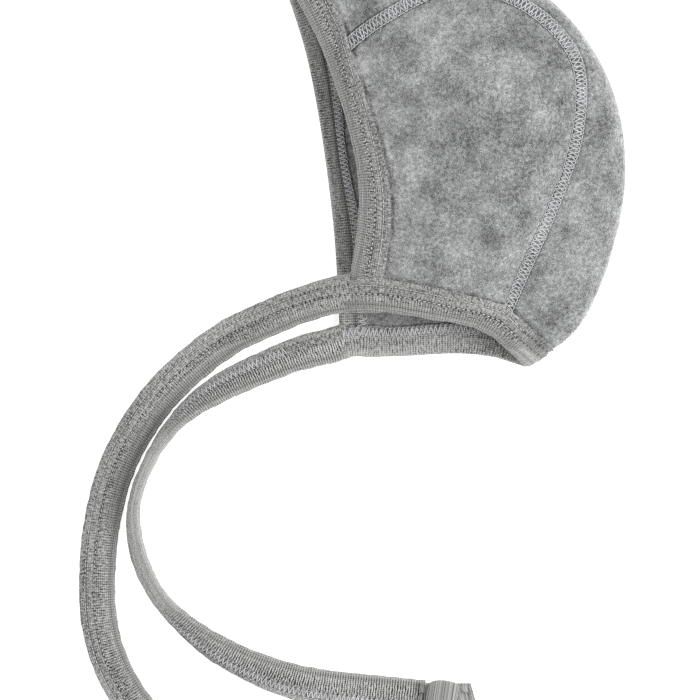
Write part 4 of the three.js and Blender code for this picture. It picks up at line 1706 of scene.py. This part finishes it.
@dataclass
class Tie:
    """A flat tie of folded tape that leaves the neck tape at a front corner and lies on the floor."""

    name: str
    route: list[tuple[float, float, float, float]]
    corner: np.ndarray
    inward: np.ndarray
    upside: Side
    width: float = TIE_WIDTH
    thickness: float = TIE_THICKNESS
    start_thickness: float = 0.0065
    blend_length: float = 0.028
    step: float = 0.0003
    ring_step: float = 0.00037
    smoothing: float = 0.0066
    first_row: float = 0.0005
    drift: float = 0.005
    ease: tuple[float, float] = (-0.0004, 0.0009)
    overlap: float = 0.002
    # Start, end and tone of the painted shade along the inner edge, and of the painted light on the lit
    # stretch
    shaded: tuple[float, float, float] = (0.05, 0.15, -0.14)
    lit: tuple[float, float, float] = (0.0, 0.0, 0.0)
    relief: RibRelief = field(default_factory=RibRelief)

    def centre_line(self) -> tuple[np.ndarray, np.ndarray, np.ndarray]:
        """Follows the route from the corner to the knot.

        Returns:
            The middles at even steps, and the turns and the headings there.
        """
        turns = np.radians([row[3] for row in self.route])
        rest = (self.width * np.sin(turns) + self.thickness * np.cos(turns)) / 2
        points = np.array([row[:3] for row in self.route])
        points[:, :2] += self.corner[:2]
        points[:, 2] += rest
        fine = np.linspace(0, 1, 6000)
        curve = centripetal(np.broadcast_to(points, (len(fine),) + points.shape), fine)
        turn = np.interp(fine * (len(turns) - 1), np.arange(len(turns)), turns)
        floor = (self.width * np.sin(turn) + self.thickness * np.cos(turn)) / 2
        curve[:, 2] = np.maximum(curve[:, 2], floor)
        back = unit(curve[0] - self.corner) * self.overlap
        lead = np.linspace(self.corner - back, curve[0], 40)[:-1]
        curve = np.concatenate([lead, curve])
        turn = np.concatenate([np.full(len(lead), turn[0]), turn])
        run = run_of(curve)
        even = np.arange(0, run[-1], self.step)
        middle = np.stack([np.interp(even, run, curve[:, k]) for k in range(3)], axis=-1)
        table = np.column_stack([middle, np.interp(even, run, turn)])
        reach = round(self.smoothing / self.step)
        kernel = np.ones(2 * reach + 1) / (2 * reach + 1)
        for _ in range(2):
            padded = np.pad(table, ((reach, reach), (0, 0)), mode="reflect", reflect_type="odd")
            table = np.stack([np.convolve(padded[:, k], kernel, mode="valid") for k in range(4)], axis=-1)
        middle = table[:, :3]
        return middle, table[:, 3], unit(np.gradient(middle, axis=0))

    def strip(self) -> Strip:
        """Works out the tie's band, its width running from the inner edge to the outer edge.

        Returns:
            The band.
        """
        middle, turn, heading = self.centre_line()
        level = np.stack([heading[:, 1], -heading[:, 0], np.zeros(len(heading))], axis=-1)
        level = unit(level)
        over = unit(np.cross(level, heading))
        wide = level * np.cos(turn)[:, None] - over * np.sin(turn)[:, None]
        run = np.arange(len(middle)) * self.step
        share = smoothstep(run, 0, self.blend_length)[:, None]
        wide = unit(self.inward * (1 - share) + wide * share)
        wide = unit(wide - np.sum(wide * heading, axis=-1, keepdims=True) * heading)
        thick = np.cross(wide, heading)
        half = self.width / 2
        points = np.stack([middle - wide * half, middle, middle + wide * half], axis=1)
        self.middle = middle
        return Strip(run, np.array([-half, 0, half]), points, np.stack([thick] * 3, axis=1))

    def outline(self) -> np.ndarray:
        """Works out the section of the folded tape.

        Returns:
            Points of width and height round the section.
        """
        half = self.width / 2
        turns = 8
        rim = self.thickness / 2
        flat = np.arange(half - rim - 0.0003, -(half - rim), -0.0006)
        points = []
        for k in range(turns + 1):
            angle = -math.pi / 2 + math.pi * k / turns
            points.append((half - rim + rim * math.cos(angle), rim * math.sin(angle)))
        points += [(x, rim) for x in flat]
        for k in range(turns + 1):
            angle = math.pi / 2 + math.pi * k / turns
            points.append((-(half - rim) + rim * math.cos(angle), rim * math.sin(angle)))
        points += [(x, -rim) for x in flat[::-1]]
        return np.array(points)

    def build(self) -> bpy.types.Object:
        """Builds the tie.

        Returns:
            The tie.
        """
        strip = self.strip()
        self.band = strip
        outline = self.outline()
        normals = outline_normals(outline)
        run = np.linspace(0, strip.run[-1], int(strip.run[-1] / self.ring_step))
        extra = (self.start_thickness / self.thickness - 1) * (1 - smoothstep(run, 0, self.blend_length))
        runs, widths = np.meshgrid(run, outline[:, 0], indexing="ij")
        heights = outline[:, 1] * (1 + extra)[:, None]
        relief = self.relief.height(runs, widths - self.drift * runs, self.rows())
        inner, outer = [np.maximum(sign * widths / (self.width / 2), 0) for sign in (-1, 1)]
        fading = 1 - smoothstep(runs, 0.004, self.blend_length)
        eased = (outer * self.ease[1] - inner * self.ease[0]) * fading
        rings = strip.place(runs, widths + eased + normals[:, 0] * relief, heights + normals[:, 1] * relief)
        across = np.broadcast_to(arc_from_fold(outline), runs.shape)
        push = FOLD_ARC + STITCH_ROWS[0] - arc_of_width(outline) - self.first_row - self.drift * runs
        across = across + np.sign(across) * push * smoothstep(np.abs(across), 0, 0.006)
        places = np.stack([runs, across, self.tones(runs, widths)], axis=-1)
        shape = Shape()
        shape.add_rings(rings[None], places[None])
        return shape.mesh_object(self.name)

    def tones(self, runs: np.ndarray, widths: np.ndarray) -> np.ndarray:
        """Gives the painted tones: the highlight on the fold's rim and the shade of its crease, the shade
        along the inner edge, and the light on the lit stretch.

        Args:
            runs: Lengths along the tie.
            widths: Lengths across it, from its middle.

        Returns:
            The tones to add.
        """
        total = fold_highlight_and_crease_shade(widths + self.width / 2)
        ramp = 0.025
        for start, end, tone, reach in ((*self.shaded, 0.0035), (*self.lit, 1.0)):
            along = smoothstep(runs, start, start + ramp) * (1 - smoothstep(runs, end, end + ramp))
            total = total + tone * along * bump(widths, -self.width / 2, reach)
        return total

    def rows(self) -> tuple[float, float]:
        """Gives the widths at which the two rows of stitches run where the tie starts."""
        return (self.first_row, self.first_row + STITCH_ROWS[1] - STITCH_ROWS[0])

    def build_stitches(self, name: str) -> bpy.types.Object:
        """Builds the rows on one face and the zigzag on the other.

        Args:
            name: The piece's name.

        Returns:
            The threads.
        """
        shape = Shape()
        stitching = Stitching(rows=self.rows(), drift=self.drift)
        end = self.band.run[-1] - 0.002
        height = self.thickness / 2
        other = Side.INNER if self.upside is Side.OUTER else Side.OUTER
        stitching.sew_rows(shape, self.band, self.upside, height, self.blend_length, end)
        if self.lit[1]:
            stitching.sew_zigzag(shape, self.band, other, height, self.blend_length, self.lit[0] + 0.012)
        start = self.lit[1] + 0.012 if self.lit[1] else self.blend_length
        stitching.sew_zigzag(shape, self.band, other, height, start, end)
        return shape.mesh_object(name)


@dataclass
class Knot:
    """A pulled overhand knot: a band of the tape wound round the tie, and the short tail that comes out."""

    name: str
    start: np.ndarray
    heading: np.ndarray
    length: float = 0.025
    width: float = 0.018
    thickness: float = 0.010
    band_length: float = 0.0135
    tape: float = 0.0026

    def build(self) -> bpy.types.Object:
        """Builds the knot.

        Returns:
            The knot.
        """
        shape = Shape()
        forward = unit(np.array([self.heading[0], self.heading[1], 0.0]))
        side = np.array([forward[1], -forward[0], 0.0])
        up = np.array([0.0, 0.0, 1.0])
        self.wind(shape, forward, side, up)
        self.run_out(shape, forward, side, up)
        return shape.mesh_object(self.name)

    def wind(self, shape: Shape, forward: np.ndarray, side: np.ndarray, up: np.ndarray) -> None:
        """Adds the band that is wound round the tie, a little more than one turn.

        Args:
            shape: The mesh in the making.
            forward: The way that the tie runs.
            side: The way across it.
            up: The way up.
        """
        turns = np.radians(np.linspace(-150, 250, 150))
        share = np.linspace(-1, 1, len(turns))
        centre = self.start + forward * (0.001 + self.band_length / 2)
        centre = centre + up * (self.thickness / 2 - self.start[2])
        half_tape = self.tape / 2
        radius_side = self.width / 2 - half_tape
        radius_up = self.thickness / 2 - half_tape
        grow = 1 - 0.12 * (share < 0) * -share
        section = np.linspace(0, 2 * math.pi, 28, endpoint=False)
        profile_x = np.sign(np.cos(section)) * np.abs(np.cos(section)) ** 0.6 * self.band_length / 2
        profile_r = np.sign(np.sin(section)) * np.abs(np.sin(section)) ** 0.8 * half_tape
        barrel = -0.0012 * (profile_x / (self.band_length / 2)) ** 2
        rings = []
        for angle, part, size in zip(turns, share, grow):
            out = math.cos(angle) * side * radius_side * size + math.sin(angle) * up * radius_up * size
            normal = unit(math.cos(angle) * side / radius_side + math.sin(angle) * up / radius_up)
            middle = centre + out + forward * 0.0012 * part
            height = profile_r + barrel
            rings.append(middle + forward * profile_x[:, None] + normal * height[:, None])
        rings = np.array(rings)
        run = np.abs(turns * self.width / 2)
        places = np.zeros(rings.shape)
        places[..., 0] = profile_x
        places[..., 1] = 0.003 + 0.001 * np.cos(run)[:, None]
        places[..., 2] = 0.05
        shape.add_rings(rings[None], places[None])
        part = np.linspace(-0.999, 0.999, 24)[:, None]
        size = (1 - part**4) ** 0.5
        core = centre + forward * (part * (self.band_length / 2 - 0.0002))[..., None]
        core = core + side * (size * radius_side * np.cos(section))[..., None]
        core = core + up * (size * radius_up * np.sin(section))[..., None]
        places = np.zeros(core.shape)
        places[..., 1] = 0.003
        # The core's tone is painted shade where it shows between the band and the tie
        places[..., 2] = -0.12
        shape.add_rings(core[None], places[None])

    def run_out(self, shape: Shape, forward: np.ndarray, side: np.ndarray, up: np.ndarray) -> None:
        """Adds the tail that comes out of the band, folded over on itself.

        Args:
            shape: The mesh in the making.
            forward: The way that the tie runs.
            side: The way across it.
            up: The way up.
        """
        steps = 60
        share = np.linspace(0, 1, steps)
        base = self.start - forward * 0.002
        reach = self.length + 0.0006
        # The lower layer's tone is painted shade under the upper fold, the upper fold's tone a painted
        # highlight
        layers = [
            {"offset": (0.0, 0.0), "half": (0.0066, 0.0088), "height": 0.0016, "tone": -0.08},
            {"offset": (-0.0042, -0.0069), "half": (0.0022, 0.002), "height": 0.0037, "tone": 0.08},
        ]
        lean = 0.42
        for layer in layers:
            section = np.linspace(0, 2 * math.pi, 32, endpoint=False)
            wide = np.sign(np.cos(section)) * np.abs(np.cos(section)) ** 0.7
            tall = np.sign(np.sin(section)) * np.abs(np.sin(section)) ** 0.8 * 0.0013
            rings = []
            for part in share:
                offset = np.interp(part, (0, 1), layer["offset"])
                across = offset + wide * np.interp(part, (0, 1), layer["half"])
                middle = base + forward * reach * part
                middle = middle + up * (layer["height"] - self.start[2])
                ribs = 0.00005 * math.cos(2 * math.pi * part * reach / RIB_PITCH)
                height = tall + np.sign(tall) * ribs
                skewed = forward * (across * lean * part)[:, None]
                rings.append(middle + side * across[:, None] + up * height[:, None] + skewed)
            rings = np.array(rings)
            places = np.zeros(rings.shape)
            places[..., 0] = (share * reach)[:, None]
            places[..., 1] = 0.002 + section * 0.0005
            places[..., 2] = layer["tone"]
            shape.add_rings(rings[None], places[None])


@dataclass
class Studio:
    """The pale floor, the soft light and the camera over it."""

    view_centre: tuple[float, float] = (-0.0444, -0.0865)
    view_size: float = 0.3082
    camera_height: float = 6.02
    subject_height: float = 0.02
    sensor: float = 36.0

    def build(self) -> None:
        """Builds the camera, the lights and the floor."""
        scene = bpy.context.scene
        camera = bpy.data.cameras.new("camera")
        camera.sensor_width = self.sensor
        camera.lens = self.sensor * (self.camera_height - self.subject_height) / self.view_size
        camera.clip_end = 20
        holder = bpy.data.objects.new("camera", camera)
        holder.location = (*self.view_centre, self.camera_height)
        scene.collection.objects.link(holder)
        scene.camera = holder
        self.floor()
        self.light("key_light", (1.35, -0.35, 1.35), 1.1, 24)
        self.light("fill_light", (-0.7, 0.7, 1.9), 1.8, 9)
        world = bpy.data.worlds.new("studio")
        world.use_nodes = True
        background = world.node_tree.nodes["Background"]
        background.inputs["Color"].default_value = (1.0, 1.0, 1.0, 1.0)
        background.inputs["Strength"].default_value = 0.5
        scene.world = world
        scene.view_settings.view_transform = "Standard"
        scene.cycles.use_denoising = False
        scene.cycles.filter_width = 1.3

    def light(self, name: str, place: tuple[float, float, float], size: float, power: float) -> None:
        """Adds a soft square light that points at the hat.

        Args:
            name: The light's name.
            place: Where it hangs.
            size: The length of its sides.
            power: Its power in watts.
        """
        lamp = bpy.data.lights.new(name, "AREA")
        lamp.size = size
        lamp.energy = power
        holder = bpy.data.objects.new(name, lamp)
        holder.location = place
        aim = Vector((self.view_centre[0], self.view_centre[1], 0)) - holder.location
        holder.rotation_euler = aim.to_track_quat("-Z", "Y").to_euler()
        bpy.context.scene.collection.objects.link(holder)

    def floor(self) -> None:
        """Adds the plain floor."""
        half = 3.0
        drop = 0.0001
        shape = Shape(lowest=-drop)
        ways = ((-1, -1), (1, -1), (1, 1), (-1, 1))
        corners = np.array([(x * half, y * half, -drop) for x, y in ways])
        shape.add(corners, np.array([[0, 1, 2, 3]]))
        plane = shape.mesh_object("floor")
        paper = bpy.data.materials.new("pale_paper")
        paper.use_nodes = True
        surface = paper.node_tree.nodes["Principled BSDF"]
        surface.inputs["Base Color"].default_value = (0.93, 0.93, 0.93, 1.0)
        surface.inputs["Roughness"].default_value = 0.9
        surface.inputs["Specular IOR Level"].default_value = 0.1
        surface.inputs["Emission Color"].default_value = (1.0, 1.0, 1.0, 1.0)
        surface.inputs["Emission Strength"].default_value = 0.6
        plane.data.materials.append(paper)


def front_corner(cloth: Cloth, edge: int) -> np.ndarray:
    """Finds the middle of the neck tape's end at a front corner.

    Args:
        cloth: The cloth.
        edge: The neck edge that ends there.

    Returns:
        The point.
    """
    across = cloth.across_after(TAPE_WIDTH / 2, edge, FOLD)
    return cloth.point(np.array(float(FACE)), np.array(across))


def build_ties(cloth: Cloth, neck: Binding, wardrobe: Wardrobe) -> None:
    """Builds both ties with their stitches and knots.

    Args:
        cloth: The cloth.
        neck: The neck tape that the ties run on from.
        wardrobe: The materials.
    """
    band = neck.band
    # The shade column is painted light: each tie is a lighter copy of the tape, the one on its edge lighter
    # still
    ends = [
        ("left_tie", LEFT_TIE_ROUTE, UPPER_EDGE, band.run[0], 1.1, Side.OUTER),
        ("right_tie", RIGHT_TIE_ROUTE, LOWER_EDGE, band.run[-1], 1.14, Side.INNER),
    ]
    for name, route, edge, run, shade, upside in ends:
        on_top = upside is Side.INNER
        middle_width = (TAPE_WIDTH - TAPE_CLEARANCE - TAPE_WALL) / 2
        here, further = [band.frame(np.array(run), np.array(middle_width + more))[0] for more in (0.0, 0.001)]
        tie = Tie(name + "_tape", route, front_corner(cloth, edge), unit(further - here), upside)
        if on_top:
            # The tie on its edge gets painted light over its upright stretch instead of painted shade along
            # its inner edge
            tie.ease, tie.shaded, tie.lit = (0.0012, -0.0018), (0.0, 0.0, 0.0), (0.08, 0.165, 0.26)
        piece = tie.build()
        zigzag = Side.OUTER if on_top else Side.INNER
        ribs = 0.75 if on_top else 0.3
        material = wardrobe.material(name + "_knit", TAPE, Pattern.RIBS, shade, ribs, zigzag)
        dress(piece, material, "tie_tape", name)
        stitches = tie.build_stitches(name + "_stitches")
        dress(stitches, wardrobe.material("tape_thread", TAPE_THREAD, Pattern.PLAIN), "tie_tape")
        knot = Knot(name + "_knot_wound", tie.middle[-1], unit(tie.middle[-1] - tie.middle[-8]))
        wound = knot.build()
        # The knot's tape is a lighter copy of the tape, painted light
        knot_knit = wardrobe.material("knot_knit", TAPE, Pattern.RIBS, 1.05, 0.1)
        dress(wound, knot_knit, "tie_tape", name + "_knot")


def face_binding(cloth: Cloth) -> Binding:
    """Lays out the tape along the face edge, which stops short of the neck tape's legs.

    Args:
        cloth: The cloth.

    Returns:
        The tape.
    """
    stop = 0.003
    start = cloth.across_after(stop, LOWER_EDGE, FOLD)
    end = cloth.across_after(stop, UPPER_EDGE, FOLD)
    across = np.linspace(start, end, 460)
    along = np.full_like(across, FACE)
    return Binding(cloth, "face_tape", along, across, 0.0, press=TAPE_WIDTH + 0.002, lift=-0.0007)


def neck_binding(cloth: Cloth) -> Binding:
    """Lays out the tape that runs from the upper front corner to the nape and back along the lower layer.

    Args:
        cloth: The cloth.

    Returns:
        The tape.
    """
    margin = 0.12
    side = np.linspace(FACE, SIDE_PANEL_END, 140)
    nape = np.linspace(UPPER_SEAM - margin, LOWER_SEAM + margin, 60)
    along = np.concatenate([side, np.full_like(nape, NAPE), side[::-1]])
    across = np.concatenate([np.full_like(side, UPPER_EDGE), nape, np.full_like(side, LOWER_EDGE)])
    past_ends = TAPE_CLEARANCE + TAPE_WALL
    return Binding(cloth, "neck_tape", along, across, past_ends, press=TAPE_WIDTH + 0.006, lift=0.0006)


def build_panels(cloth: Cloth, wardrobe: Wardrobe) -> None:
    """Builds the three panels, their nap and the seams between them.

    Args:
        cloth: The cloth.
        wardrobe: The materials.
    """
    last = SIDE_PANEL_END
    left = Panel(cloth, "left_side_fleece", UPPER_SEAM, UPPER_EDGE, last, 200, 80, True, False, 11)
    right = Panel(cloth, "right_side_fleece", LOWER_EDGE, LOWER_SEAM, last, 120, 50, False, True, 21)
    centre = Panel(cloth, "centre_fleece", LOWER_SEAM, UPPER_SEAM, NAPE, 260, 40, True, True, 31)
    # Deeper painted shade in the groove beside the upper side panel's seam
    left.painted_groove_shade = 0.5
    # The shade column is painted light: the upper side panel and the centre panel are lighter copies of the
    # lower side panel's fleece, and their nap alike
    rows = [
        (left, "left_side_panel", "side_fleece", 1.26, 21000),
        (right, "right_side_panel", "side_fleece", 1.0, 2000),
        (centre, "centre_panel", "centre_fleece", 1.2, 22000),
    ]
    for panel, node, slot, shade, fibres in rows:
        piece = panel.build()
        material = wardrobe.material(panel.name + "_wool", FLEECE, Pattern.PLAIN, shade)
        dress(piece, material, slot, node)
        nap = Nap(panel, panel.name + "_nap", fibres, panel.lump_seed + 100).build()
        dress(nap, wardrobe.material(panel.name + "_fibre", NAP, Pattern.FIBRES, shade), slot)
        LOG.info("%s: %d faces, %d fibres", panel.name, len(piece.data.polygons), fibres)
    thread = wardrobe.material("seam_thread", THREAD, Pattern.PLAIN)
    for name, seam in (("upper_flatlock", UPPER_SEAM), ("lower_flatlock", LOWER_SEAM)):
        piece = FlatlockSeam(cloth, name, seam, last).build()
        dress(piece, thread, "side_fleece")


def main() -> None:
    """Builds the bonnet and the studio."""
    logging.basicConfig(level=logging.INFO, format="%(name)s: %(message)s")
    Studio().build()
    cloth = Cloth()
    wardrobe = Wardrobe()
    neck = neck_binding(cloth)
    neck_piece = neck.build()
    build_ties(cloth, neck, wardrobe)
    build_panels(cloth, wardrobe)
    knit = wardrobe.material("tape_knit", TAPE, Pattern.RIBS)
    thread = wardrobe.material("tape_thread", TAPE_THREAD, Pattern.PLAIN)
    dress(neck_piece, knit, "rib_tape", "neck_binding")
    dress(neck.build_stitches("neck_stitches"), thread, "rib_tape")
    face = face_binding(cloth)
    dress(face.build(), knit, "rib_tape", "face_binding")
    dress(face.build_stitches("face_stitches"), thread, "rib_tape")


if __name__ == "__main__":
    main()
